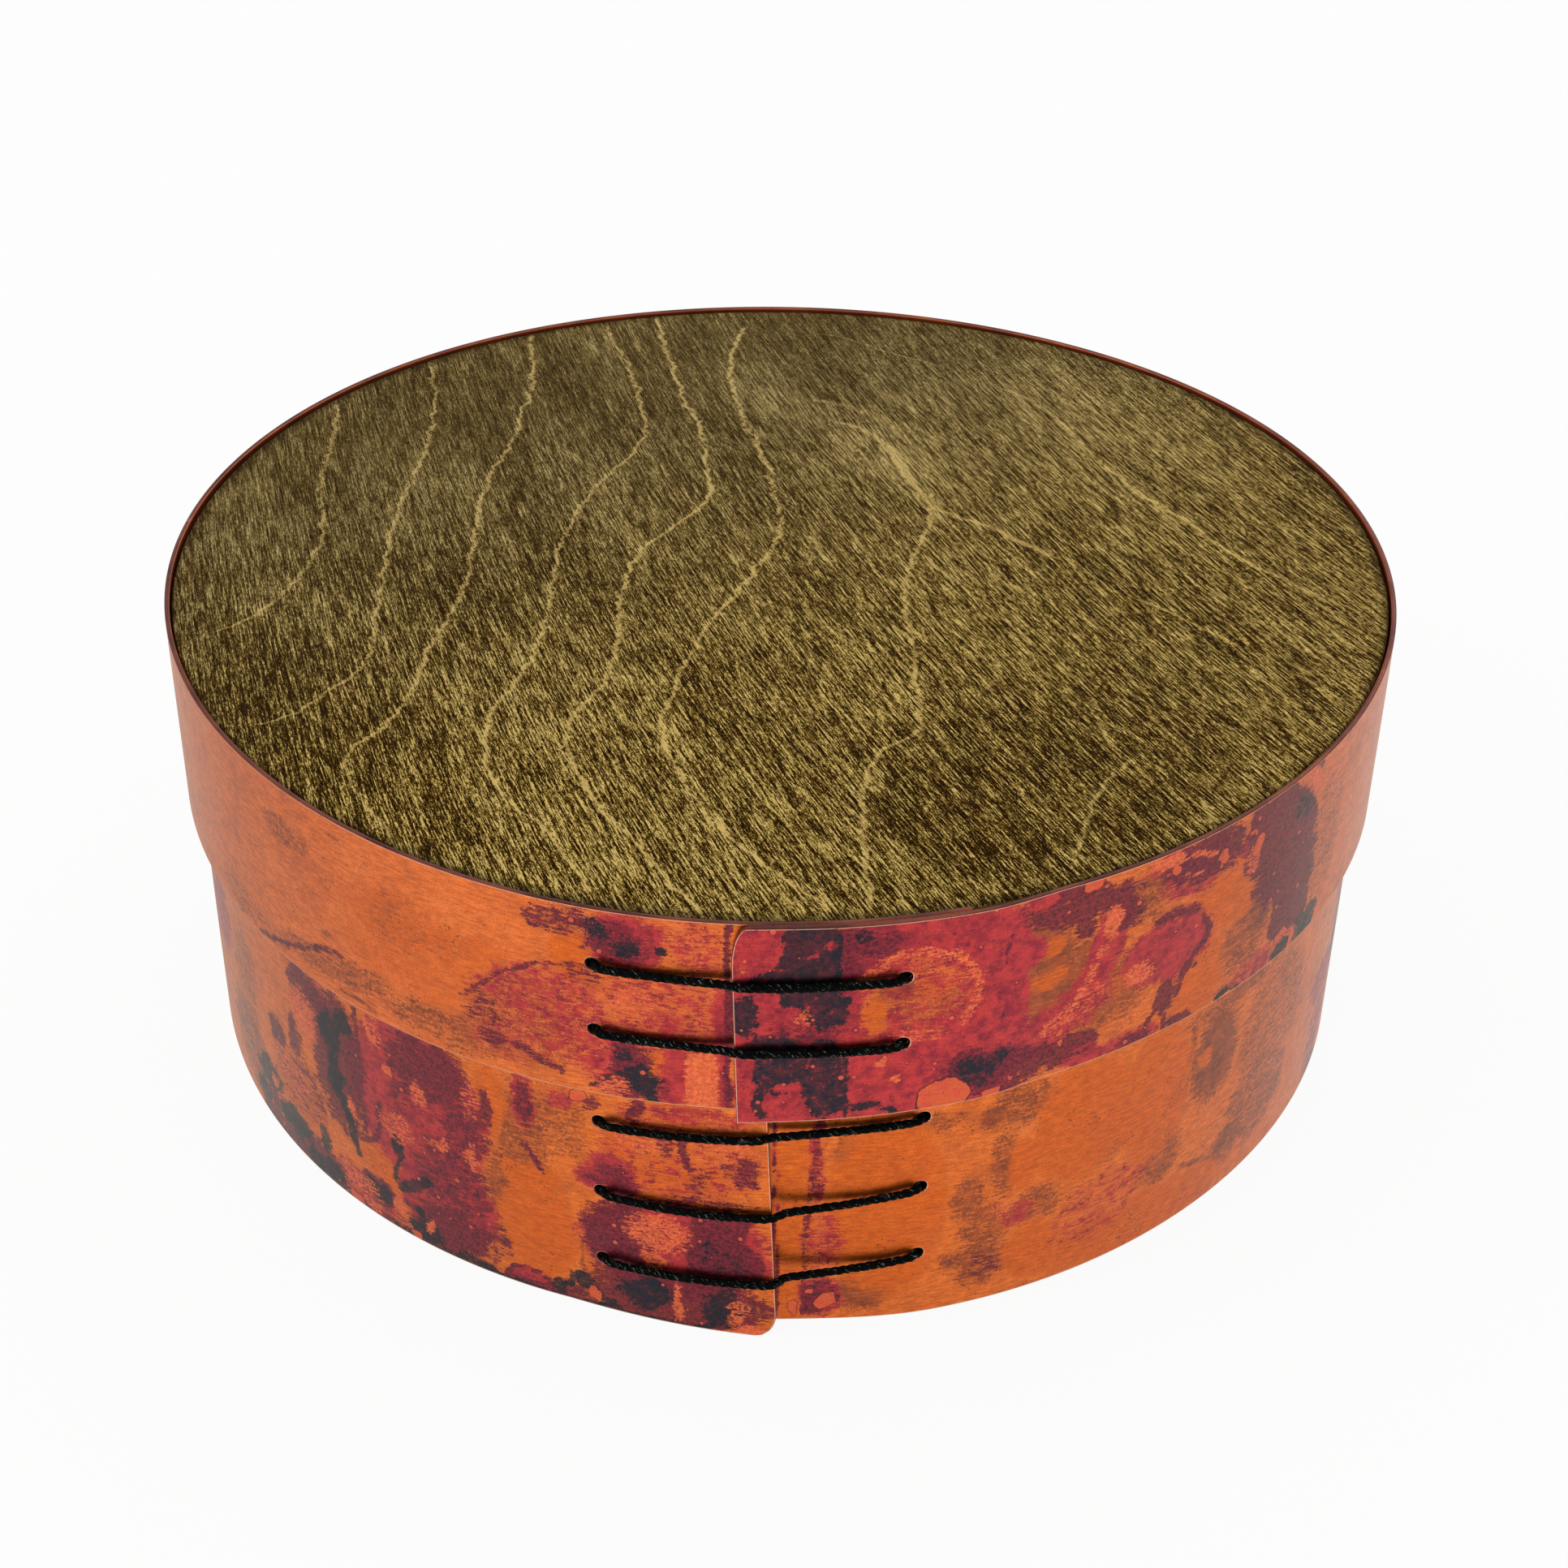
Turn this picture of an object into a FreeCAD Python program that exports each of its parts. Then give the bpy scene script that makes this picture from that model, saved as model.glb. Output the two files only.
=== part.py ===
"""A hand-made lidded box of bent copper sheet with plywood panels.

Two copper bands are bent round and lapped at the front, where black waxed thread laces each lap.
A plywood panel closes the lid and another the base. The lid drops over the base and rests on its rim.

Millimetres. +X is the long way of the box, -Y faces the laps, +Z is up.
The origin is the middle of the underside, on the surface that the box stands on.
A place on a band is given by its run, the length along the outline from the front middle,
which grows towards +X, and its height above the origin.
"""
import FreeCAD
import Part
import math
import os

from FreeCAD import Vector

# Whole box
LENGTH = 165.0                # outside of the lid band, left to right
DEPTH = 156.8                 # outside of the lid band, front to back, as an ellipse
HEIGHT = 65.7                 # lid rim above the table
FRONT_BULGE = 0.53            # how far the stiff lap pushes the front outwards
SIDE_LEAN = 0.17              # how far the same bulge leans to the right

# Copper bands
SHEET = 0.64                  # copper sheet thickness
LAP_GAP = 0.10                # air between the two layers of a lap
LID_FIT = 1.08                # between the lid band and the base band, all round
LID_BAND_HEIGHT = 28.0        # lid band, rim to lower edge

# Lap of the lid band: the right end lies outside
LID_END_RUN = -4.85           # run of the outer end
LID_HIDDEN_RUN = 23.0         # run of the hidden inner end
LID_STEP_LENGTH = 12.0        # length over which the outer layer comes back to the outline
LID_END_LEAN = 0.75           # how far the outer end leans right at its foot
LID_END_LIFT = 0.25           # how far the outer end springs off the layer below
LID_LIFT_LENGTH = 9.0         # length of the part that springs off
LID_END_DROP = 1.4            # how far the outer end hangs below the rest of the band
LID_DROP_LENGTH = 52.0        # length over which it comes down
LID_CORNER_WIDTH = 1.9        # rounded upper corner of the outer end
LID_CORNER_HEIGHT = 5.7

# Lap of the base band: the left end lies outside
BASE_END_RUN = -0.6           # run of the outer end at its top
BASE_HIDDEN_RUN = -29.0       # run of the hidden inner end
BASE_STEP_START = 2.5         # where the inner layer starts to come out to the outline
BASE_STEP_LENGTH = 19.0
BASE_END_LEAN = 1.6           # how far the outer end leans right at its foot
BASE_END_FLARE = 2.3          # how far the free lower corner springs out
BASE_FLARE_LENGTH = 26.0      # length of the part that springs out
BASE_FLARE_POWER = 1.3        # how late it bends: 1 is a straight flap
BASE_CORNER_WIDTH = 2.9       # rounded lower corner of the outer end
BASE_CORNER_HEIGHT = 4.0

# Plywood panels
LID_PANEL_THICKNESS = 5.0
BASE_PANEL_THICKNESS = 5.0
PANEL_GAP = 0.30              # between a panel's edge and its band
PANEL_RECESS = 0.40           # lid panel below the lid rim
PANEL_EASE = 0.25             # narrow bevel round the panels' upper faces

# Lacing
THREAD = 1.15                 # waxed thread, thickness
HOLE = 1.8                    # holes in the copper
THREAD_CLEARANCE = 0.12       # between thread and copper
FLAT_THREAD_WIDTH = 1.7       # thread pressed flat between the two bands
FLAT_THREAD_MARGIN = 0.30     # what the flat thread leaves of the lid's fit
SEAM_STAND = 0.46             # a stitch bends over an outer end this far beyond it
DRILL_REACH = 3.0             # how far the drill goes in and out of the outline
KNOT_WIDTH = 3.2
KNOT_THICKNESS = 1.9          # knots inside the base, where there is room
EDGE_ROUNDING = 0.4           # of the thickness of knots and flat thread
LID_LEFT_HOLES_RUN = -21.1
LID_RIGHT_HOLES_RUN = 15.2
LID_FIRST_ROW_DROP = 2.8      # first row of the lid below its panel
LID_ROW_PITCH = 9.9
BASE_LEFT_HOLES_RUN = -21.6
BASE_RIGHT_HOLES_RUN = 19.0
BASE_FIRST_ROW_RISE = 3.8     # left end of the base's lowest row above its panel
BASE_ROW_PITCH = 11.4
BASE_ROW_CLIMB = 1.6          # how much higher a row of the base lies at its right hole
BASE_ROW_COUNT = 3
LID_ROW_COUNT = 2

# Resolution of the outlines
OUTLINE_STEP = 3.0            # spacing of the points of a band's path
STEP_DETAIL = 1.0             # spacing of the points near a lap
STITCH_STEP = 2.0             # spacing of the points of a stitch
BEND_SHARE = 0.45             # share of a stitch's straight piece that a bend takes up
NUDGE = 1e-4                  # radians to each side when the outline's direction is taken

# Heights and offsets that follow from the sizes above
LID_LOWER_EDGE = HEIGHT - LID_BAND_HEIGHT
LID_PANEL_TOP = HEIGHT - PANEL_RECESS
LID_PANEL_UNDERSIDE = LID_PANEL_TOP - LID_PANEL_THICKNESS
BASE_RIM = LID_PANEL_UNDERSIDE
BASE_INSET = SHEET + LID_FIT
LAYER = SHEET + LAP_GAP
LID_TOP_ROW = LID_PANEL_UNDERSIDE - LID_FIRST_ROW_DROP
LID_ROWS = [LID_TOP_ROW - row * LID_ROW_PITCH for row in range(LID_ROW_COUNT)]
BASE_LOWEST_ROW = BASE_PANEL_THICKNESS + BASE_FIRST_ROW_RISE
BASE_ROWS = [BASE_LOWEST_ROW + row * BASE_ROW_PITCH for row in range(BASE_ROW_COUNT)]
FLAT_THREAD = LID_FIT - FLAT_THREAD_MARGIN

TURN = 2.0 * math.pi
FRONT = -0.5 * math.pi
OUTLINE_SAMPLES = 1440


def outline_radius(angle):
    """Distance of the lid's outside from the middle: an ellipse with a slight bulge at the front."""
    ellipse = 1.0 / math.hypot(math.cos(angle) / (0.5 * LENGTH), math.sin(angle) / (0.5 * DEPTH))
    return ellipse + FRONT_BULGE * math.sin(3.0 * angle) + SIDE_LEAN * math.cos(3.0 * angle)


def outline_point(angle):
    radius = outline_radius(angle)
    return Vector(radius * math.cos(angle), radius * math.sin(angle), 0.0)


def measure_outline():
    """Run along the outline at evenly spaced angles, starting at the front."""
    runs = [0.0]
    previous = outline_point(FRONT)
    for index in range(1, OUTLINE_SAMPLES + 1):
        point = outline_point(FRONT + TURN * index / OUTLINE_SAMPLES)
        runs.append(runs[-1] + point.distanceToPoint(previous))
        previous = point
    return runs


RUNS = measure_outline()
ROUND = RUNS[-1]              # whole length of the outline


def angle_at(run):
    """Angle of the point that lies run millimetres along the outline."""
    turns, rest = divmod(run, ROUND)
    low, high = 0, OUTLINE_SAMPLES
    while high - low > 1:
        middle = (low + high) // 2
        if RUNS[middle] > rest:
            high = middle
        else:
            low = middle
    share = (rest - RUNS[low]) / (RUNS[high] - RUNS[low])
    return FRONT + TURN * (turns + (low + share) / OUTLINE_SAMPLES)


def frame_at(run):
    """Point on the outline, direction along it and direction outwards."""
    angle = angle_at(run)
    along = outline_point(angle + NUDGE) - outline_point(angle - NUDGE)
    along.normalize()
    outwards = Vector(along.y, -along.x, 0.0)
    return outline_point(angle), along, outwards


def place(run, outset, height):
    """A point beside the outline: outset is how far outside it lies, height is its Z."""
    point, _, outwards = frame_at(run)
    spot = point + outwards * outset
    return Vector(spot.x, spot.y, height)


def ease(value, start, length):
    """0 before start, 1 after start + length, with a smooth rise between."""
    share = min(1.0, max(0.0, (value - start) / length))
    return share * share * (3.0 - 2.0 * share)


def spread(start, stop, spacing):
    """Evenly spaced values from start to stop."""
    count = max(2, int(math.ceil(abs(stop - start) / spacing)))
    return [start + (stop - start) * index / count for index in range(count + 1)]


# ---- where the layers of each band lie -------------------------------------------------

def lid_outer_layer(run):
    """Outset of the lid band's outside, from its outer end round to its hidden end."""
    lap = 1.0 - ease(run, LID_HIDDEN_RUN + LAYER, LID_STEP_LENGTH)
    lift = max(0.0, 1.0 - (run - LID_END_RUN) / LID_LIFT_LENGTH)
    return LAYER * lap + LID_END_LIFT * lift * lift


def base_inner_layer(run):
    """Outset of the base band's outside near its hidden end, measured from the base outline."""
    return -LAYER * (1.0 - ease(run, BASE_STEP_START, BASE_STEP_LENGTH))


def base_flare(run, height):
    """How far the base band's outer end springs out: most at its foot, nothing under the lid."""
    along = max(0.0, (run - BASE_END_RUN + BASE_FLARE_LENGTH) / BASE_FLARE_LENGTH)
    down = max(0.0, 1.0 - height / LID_LOWER_EDGE)
    return BASE_END_FLARE * down * along ** BASE_FLARE_POWER


def base_end_run(height):
    """Run of the base band's outer end, which leans right below the lid."""
    return BASE_END_RUN + BASE_END_LEAN * max(0.0, 1.0 - height / LID_LOWER_EDGE)


def base_outset(run, height):
    """Outset of the base band's outside, from its hidden end round to its outer end."""
    return base_inner_layer(run) + base_flare(run - ROUND, height) - BASE_INSET


# ---- bands ------------------------------------------------------------------------------

def band_section(runs, outset, height):
    """Closed outline of a bent sheet at one height, as a wire: outside, end, inside, end."""
    outer = [place(run, outset(run, height), height) for run in runs]
    inner = [place(run, outset(run, height) - SHEET, height) for run in reversed(runs)]
    outside, inside = Part.BSplineCurve(), Part.BSplineCurve()
    outside.interpolate(outer)
    inside.interpolate(inner)
    first_end = Part.LineSegment(outer[-1], inner[0])
    last_end = Part.LineSegment(inner[-1], outer[0])
    return Part.Wire([outside.toShape(), first_end.toShape(), inside.toShape(), last_end.toShape()])


def front_wedge(points, near, far):
    """Prism with the given front-view outline, reaching from Y = near to Y = far."""
    corners = [Vector(x, near, z) for x, z in points]
    face = Part.Face(Part.makePolygon(corners + corners[:1]))
    return face.extrude(Vector(0.0, far - near, 0.0))


def base_row(row, run):
    """Height of a row of the base's lacing, which climbs from its left hole to its right one."""
    return row + BASE_ROW_CLIMB * (run - BASE_LEFT_HOLES_RUN) / (BASE_RIGHT_HOLES_RUN - BASE_LEFT_HOLES_RUN)


def hole_tool(run, height, outset):
    """Drill for one lacing hole, square to the outline and through every layer."""
    _, _, outwards = frame_at(run)
    start = place(run, outset - DRILL_REACH, height)
    return Part.makeCylinder(0.5 * HOLE, 2.0 * DRILL_REACH, start, outwards)


def rounded_corner(end, edge, width, height):
    """Front view of a sheet's corner, rounded as a quarter ellipse: from its end round to its edge."""
    return [(end + width * (1.0 - math.cos(angle)), edge + height * (1.0 - math.sin(angle)))
            for angle in spread(0.0, 0.25 * TURN, 0.05 * TURN)]


def make_lid_band():
    """Copper band of the lid, one sheet whose right end laps over its left end."""
    lowest = LID_LOWER_EDGE - LID_END_DROP
    middle = 0.5 * (LID_LOWER_EDGE + HEIGHT)
    sections = []
    for height, lean in ((lowest, LID_END_LEAN), (middle, 0.0), (HEIGHT, 0.0)):
        start = LID_END_RUN + lean
        runs = (spread(start, LID_HIDDEN_RUN + LAYER + LID_STEP_LENGTH, STEP_DETAIL)
                + spread(LID_HIDDEN_RUN + LAYER + LID_STEP_LENGTH, ROUND + LID_HIDDEN_RUN, OUTLINE_STEP)[1:])
        sections.append(band_section(runs, lambda run, z: lid_outer_layer(run), height))
    band = Part.makeLoft(sections, True, True)

    # The lower edge comes down towards the outer end, and is level everywhere else
    margin = 2.0 * (LID_END_DROP + LAYER)
    seam = place(LID_END_RUN - 0.5 * LAYER, 0.0, 0.0).x
    drop_start = place(LID_END_RUN + LID_DROP_LENGTH, 0.0, 0.0).x
    front = place(0.0, 0.0, 0.0).y - margin
    level_left = [(-LENGTH, lowest - margin), (-LENGTH, LID_LOWER_EDGE), (seam, LID_LOWER_EDGE)]
    falling = [(seam, lowest), (drop_start, LID_LOWER_EDGE)]
    level_right = [(LENGTH, LID_LOWER_EDGE), (LENGTH, lowest - margin)]
    band = band.cut(front_wedge(level_left + falling + level_right, front, 0.0))
    band = band.cut(front_wedge(level_left[:2] + level_right, 0.0, LENGTH))

    # Upper corner of the outer end, rounded without touching the layer behind it
    end = place(LID_END_RUN, LAYER, 0.0).x
    between = place(LID_END_RUN, 0.5 * (LAP_GAP + LID_END_LIFT), 0.0).y
    corner = rounded_corner(end, HEIGHT, LID_CORNER_WIDTH, -LID_CORNER_HEIGHT)
    outside = [(end + LID_CORNER_WIDTH, HEIGHT + margin), (end - margin, HEIGHT + margin),
               (end - margin, HEIGHT - LID_CORNER_HEIGHT)]
    band = band.cut(front_wedge(corner + outside, front, between))

    for row in LID_ROWS:
        for run in (LID_LEFT_HOLES_RUN, LID_RIGHT_HOLES_RUN):
            band = band.cut(hole_tool(run, row, 0.0))
    return band


def make_base_band():
    """Copper band of the base, one sheet whose left end laps over its right end."""
    step_end = BASE_STEP_START + BASE_STEP_LENGTH
    sections = []
    for height in (0.0, LID_LOWER_EDGE, BASE_RIM):
        end = ROUND + base_end_run(height)
        runs = (spread(BASE_HIDDEN_RUN, BASE_STEP_START, OUTLINE_STEP)
                + spread(BASE_STEP_START, step_end, STEP_DETAIL)[1:]
                + spread(step_end, end - BASE_FLARE_LENGTH, OUTLINE_STEP)[1:]
                + spread(end - BASE_FLARE_LENGTH, end, STEP_DETAIL)[1:])
        sections.append(band_section(runs, base_outset, height))
    band = Part.makeLoft(sections, True, True)

    # Lower corner of the outer end, rounded without touching the layer behind it
    run = base_end_run(0.0)
    end = place(run, base_outset(ROUND + run, 0.0), 0.0)
    narrowest = base_flare(run - BASE_CORNER_WIDTH, BASE_CORNER_HEIGHT)
    between = place(run, 0.5 * (narrowest - SHEET - LAYER) - BASE_INSET, 0.0).y
    margin = 2.0 * LAYER
    corner = rounded_corner(end.x, 0.0, -BASE_CORNER_WIDTH, BASE_CORNER_HEIGHT)
    outside = [(end.x - BASE_CORNER_WIDTH, -margin), (end.x + margin, -margin),
               (end.x + margin, BASE_CORNER_HEIGHT)]
    band = band.cut(front_wedge(corner + outside, end.y - margin, between))

    for row in BASE_ROWS:
        for run in (BASE_LEFT_HOLES_RUN, BASE_RIGHT_HOLES_RUN):
            band = band.cut(hole_tool(run, base_row(row, run), -BASE_INSET))
    return band


# ---- panels -----------------------------------------------------------------------------

def panel(outset, underside, thickness):
    """Plywood panel whose edge follows outset, with the upper edge slightly eased."""
    top = underside + thickness
    sections = []
    for height, drawn_in in ((underside, 0.0), (top - PANEL_EASE, 0.0), (top, PANEL_EASE)):
        runs = spread(0.0, ROUND, OUTLINE_STEP)[:-1]
        edge = Part.BSplineCurve()
        edge.interpolate([place(run, outset(run) - drawn_in, height) for run in runs], PeriodicFlag=True)
        sections.append(Part.Wire([edge.toShape()]))
    return Part.makeLoft(sections, True, True)


def lid_panel_outset(run):
    return -SHEET - PANEL_GAP


def base_panel_outset(run):
    """Inside of the base band less the gap, drawn in where the hidden layer takes up room."""
    rest = run % ROUND
    if rest > 0.5 * ROUND:
        rest -= ROUND
    before = ease(rest, BASE_HIDDEN_RUN - OUTLINE_STEP, 0.5 * OUTLINE_STEP)
    after = 1.0 - ease(rest, BASE_STEP_START, BASE_STEP_LENGTH)
    return -BASE_INSET - SHEET - PANEL_GAP - LAYER * before * after


# ---- lacing -----------------------------------------------------------------------------

def smooth_tube(points, radius):
    """Thread through the points: straight runs joined by tangent arcs."""
    edges = []
    previous = points[0]
    for index in range(1, len(points) - 1):
        corner = points[index]
        to_start = points[index - 1] - corner
        to_end = points[index + 1] - corner
        room = BEND_SHARE * min(to_start.Length, to_end.Length)
        to_start.normalize()
        to_end.normalize()
        start, end = corner + to_start * room, corner + to_end * room
        half_turn = 0.5 * (math.pi - to_start.getAngle(to_end))
        bisector = to_start + to_end
        bisector.normalize()
        bend = room / math.tan(half_turn)
        crown = corner + bisector * (bend / math.cos(half_turn) - bend)
        edges.append(Part.LineSegment(previous, start).toShape())
        edges.append(Part.Arc(start, crown, end).toShape())
        previous = end
    edges.append(Part.LineSegment(previous, points[-1]).toShape())
    path = Part.Wire(edges)
    direction = points[1] - points[0]
    profile = Part.Wire([Part.makeCircle(radius, points[0], direction)])
    return path.makePipeShell([profile], True, True)


def taut(points):
    """The points that a tight thread still touches: the outward bulge of the row, left to right."""
    kept = []
    for point in points:
        while len(kept) > 1:
            before, last = kept[-2], kept[-1]
            turn = (last.x - before.x) * (point.y - last.y) - (last.y - before.y) * (point.x - last.x)
            if turn > 0.0:
                break
            kept.pop()
        kept.append(point)
    return kept


def stitch(height, left, right, seam, outset, reach):
    """One stitch: out of the left hole, tight over the copper and the lap's edge, into the right hole."""
    stand = 0.5 * THREAD + THREAD_CLEARANCE
    runs = spread(left, seam, STITCH_STEP)[:-1] + spread(seam, right, STITCH_STEP)
    over = taut([place(run, outset(run) + stand, height(run)) for run in runs])
    first = place(left, reach, height(left))
    last = place(right, reach, height(right))
    return smooth_tube([first] + over + [last], 0.5 * THREAD)


def flat_strand(run, low, high, outset):
    """Thread pressed flat against the inside of the lid band, from one row to the next."""
    middle, along, outwards = frame_at(run)
    length = high - low + FLAT_THREAD_WIDTH
    strand = Part.makeBox(FLAT_THREAD_WIDTH, FLAT_THREAD, length,
                          Vector(-0.5 * FLAT_THREAD_WIDTH, 0.0, low - 0.5 * FLAT_THREAD_WIDTH))
    upright = [item for item in strand.Edges if item.BoundBox.ZLength > FLAT_THREAD_WIDTH]
    strand = strand.makeFillet(EDGE_ROUNDING * FLAT_THREAD, upright)
    spot = middle + outwards * outset
    turn = FreeCAD.Rotation(along, outwards * -1.0, Vector(0.0, 0.0, 1.0), "ZXY")
    strand.Placement = FreeCAD.Placement(spot, turn)
    return strand


def knot(run, height, outset, thickness):
    """Knot on the inside of a band: a round pad with rounded edges."""
    _, _, outwards = frame_at(run)
    pad = Part.makeCylinder(0.5 * KNOT_WIDTH, thickness, place(run, outset - thickness, height), outwards)
    return pad.makeFillet(EDGE_ROUNDING * thickness, pad.Edges)


def make_lid_lacing():
    """One thread: knot, upper stitch, flat strand inside on the right, lower stitch, knot."""
    inside = -SHEET - THREAD_CLEARANCE
    reach = inside - 0.5 * FLAT_THREAD
    seam = LID_END_RUN - SEAM_STAND

    def outset(run):
        return lid_outer_layer(max(run, LID_END_RUN)) if run >= seam else 0.0

    pieces = [flat_strand(LID_RIGHT_HOLES_RUN, LID_ROWS[-1], LID_ROWS[0], inside)]
    for row in LID_ROWS:
        def height(run, row=row):
            return row

        pieces.append(stitch(height, LID_LEFT_HOLES_RUN, LID_RIGHT_HOLES_RUN, seam, outset, reach))
        pieces.append(knot(LID_LEFT_HOLES_RUN, row, inside, FLAT_THREAD))
    return pieces[0].fuse(pieces[1:]).removeSplitter()


def make_base_lacing():
    """One thread: knot, stitch, strand inside on the right, stitch, strand on the left, stitch, knot."""
    face = -BASE_INSET - SHEET - LAYER - THREAD_CLEARANCE
    reach = face - 0.5 * THREAD
    rows = list(reversed(BASE_ROWS))
    sides = [BASE_RIGHT_HOLES_RUN, BASE_LEFT_HOLES_RUN]
    pieces = []
    for row, side in ((rows[0], sides[1]), (rows[-1], sides[(len(rows) - 1) % 2])):
        pieces.append(knot(side, base_row(row, side), face, KNOT_THICKNESS))
    for row in rows:
        end = base_end_run(base_row(row, BASE_END_RUN))
        seam = end + SEAM_STAND

        def height(run, row=row):
            return base_row(row, run)

        def outset(run, row=row, end=end, seam=seam):
            if run <= seam:
                return base_outset(ROUND + min(run, end), base_row(row, run))
            return base_inner_layer(run) - BASE_INSET

        pieces.append(stitch(height, BASE_LEFT_HOLES_RUN, BASE_RIGHT_HOLES_RUN, seam, outset, reach))
    for index in range(len(rows) - 1):
        side = sides[index % 2]
        high = place(side, reach, base_row(rows[index], side))
        low = place(side, reach, base_row(rows[index + 1], side))
        pieces.append(Part.makeCylinder(0.5 * THREAD, (high - low).Length, low, high - low))
        pieces += [Part.makeSphere(0.5 * THREAD, low), Part.makeSphere(0.5 * THREAD, high)]
    return pieces[0].fuse(pieces[1:]).removeSplitter()


# ---- write the parts --------------------------------------------------------------------

def main():
    os.makedirs("parts", exist_ok=True)
    shapes = {
        "lid_band": make_lid_band(),
        "lid_panel": panel(lid_panel_outset, LID_PANEL_UNDERSIDE, LID_PANEL_THICKNESS),
        "lid_lacing": make_lid_lacing(),
        "base_band": make_base_band(),
        "base_panel": panel(base_panel_outset, 0.0, BASE_PANEL_THICKNESS),
        "base_lacing": make_base_lacing(),
    }
    for name, shape in shapes.items():
        box = shape.BoundBox
        print(f"{name}: {len(shape.Solids)} solid, valid {shape.isValid()}, volume {shape.Volume:.1f} mm3")
        for axis in "XYZ":
            print(f"    {axis} {getattr(box, axis + 'Min'):.2f} to {getattr(box, axis + 'Max'):.2f}")
        shape.exportStep(os.path.join("parts", name + ".step"))


main()
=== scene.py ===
# %% [markdown]
# # A laced copper box
# The maker bends two strips of copper sheet, laps each one at the front and laces the lap with waxed
# thread. A stained plywood disc closes the lid, and another the base. The solids come from the CAD frame,
# which stays as it is. This file adds what a plain solid lacks: the patina, the grain and the twist.

# %% Load the fixed frame
import bisect
import math
import random

import bmesh
import bpy
from mathutils import Matrix, Vector
from mathutils.noise import noise_vector, seed_set


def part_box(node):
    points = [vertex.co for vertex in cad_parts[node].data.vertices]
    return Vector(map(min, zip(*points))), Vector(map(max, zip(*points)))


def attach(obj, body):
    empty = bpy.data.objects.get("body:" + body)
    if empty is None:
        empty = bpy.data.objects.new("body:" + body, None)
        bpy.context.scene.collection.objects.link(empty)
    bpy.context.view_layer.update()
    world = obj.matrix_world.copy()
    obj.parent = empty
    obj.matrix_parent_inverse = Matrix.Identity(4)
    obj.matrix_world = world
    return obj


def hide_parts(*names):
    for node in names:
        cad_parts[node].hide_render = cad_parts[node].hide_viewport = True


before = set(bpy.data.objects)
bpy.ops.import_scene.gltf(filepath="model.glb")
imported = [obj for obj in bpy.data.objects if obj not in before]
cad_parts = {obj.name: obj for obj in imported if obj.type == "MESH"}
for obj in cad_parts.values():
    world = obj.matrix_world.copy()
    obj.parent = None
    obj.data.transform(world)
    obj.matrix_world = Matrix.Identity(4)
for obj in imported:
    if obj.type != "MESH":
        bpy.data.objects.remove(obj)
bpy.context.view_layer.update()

MM = 0.001
NOISE_SEED = 7                    # noise_vector starts from the clock if it isn't given one
seed_set(NOISE_SEED)

# %% [markdown]
# ## The outline that everything follows
# A place on a band is easiest to give as a maker would with a tape: how far along the sheet, and how high.
# The run starts at the front middle and grows to the right. The outline is an ellipse with a slight bulge,
# so its length is summed once, and a run is then looked up in that sum.

# %% Sizes in millimetres, as the solids have them
LENGTH = 165.0
DEPTH = 156.8
FRONT_BULGE = 0.53
SIDE_LEAN = 0.17
SHEET = 0.64
LAYER = 0.74                      # one sheet and the air behind it
BASE_INSET = 1.72                 # outside of the base band behind the outside of the lid band
LID_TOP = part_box("lid_band")[1].z / MM
LID_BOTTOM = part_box("lid_band")[0].z / MM
BASE_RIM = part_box("base_band")[1].z / MM
LID_LEVEL_EDGE = LID_TOP - 28.0   # lower edge of the lid, away from the lap
LID_DROP_LENGTH = 52.0            # from the outer end, its lower edge rises to that level over this length
print("lid", LID_BOTTOM, LID_TOP, "base rim", BASE_RIM)

# %% Run and place
SAMPLES = 1440
FRONT = -0.5 * math.pi
TURN = 2.0 * math.pi


def outline_point(angle):
    """Point of the lid's outside at an angle from the middle."""
    ellipse = 1.0 / math.hypot(math.cos(angle) / (0.5 * LENGTH), math.sin(angle) / (0.5 * DEPTH))
    radius = ellipse + FRONT_BULGE * math.sin(3.0 * angle) + SIDE_LEAN * math.cos(3.0 * angle)
    return Vector((radius * math.cos(angle), radius * math.sin(angle), 0.0))


RUNS = [0.0]
for step in range(1, SAMPLES + 1):
    here = outline_point(FRONT + TURN * step / SAMPLES)
    before = outline_point(FRONT + TURN * (step - 1) / SAMPLES)
    RUNS.append(RUNS[-1] + (here - before).length)
ROUND = RUNS[-1]


def place(run, outset, height):
    """Point in metres beside the outline, that far outside it and that high."""
    turns, rest = divmod(run, ROUND)
    index = min(bisect.bisect_right(RUNS, rest) - 1, SAMPLES - 1)
    share = (rest - RUNS[index]) / (RUNS[index + 1] - RUNS[index])
    angle = FRONT + TURN * (turns + (index + share) / SAMPLES)
    along = (outline_point(angle + 1e-4) - outline_point(angle - 1e-4)).normalized()
    spot = outline_point(angle) + Vector((along.y, -along.x, 0.0)) * outset
    return Vector((spot.x, spot.y, height)) * MM


def ease(value, start, length):
    """0 before start, 1 after start + length, with a smooth rise between."""
    share = min(1.0, max(0.0, (value - start) / length))
    return share * share * (3.0 - 2.0 * share)


print("outline is", round(ROUND, 1), "mm long")

# %% [markdown]
# ## Camera
# A long lens about 400 mm away looks down on the lid. The camera is placed by its position and the
# directions of its own axes, so that nothing depends on what it happens to point at.

# %% Camera
CAMERA_PLACE = Vector((0.958, -329.405, 264.084)) * MM
CAMERA_PITCH = math.radians(35.535)
CAMERA_ROLL = math.radians(-0.757)
CAMERA_LENS = 65.03

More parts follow.
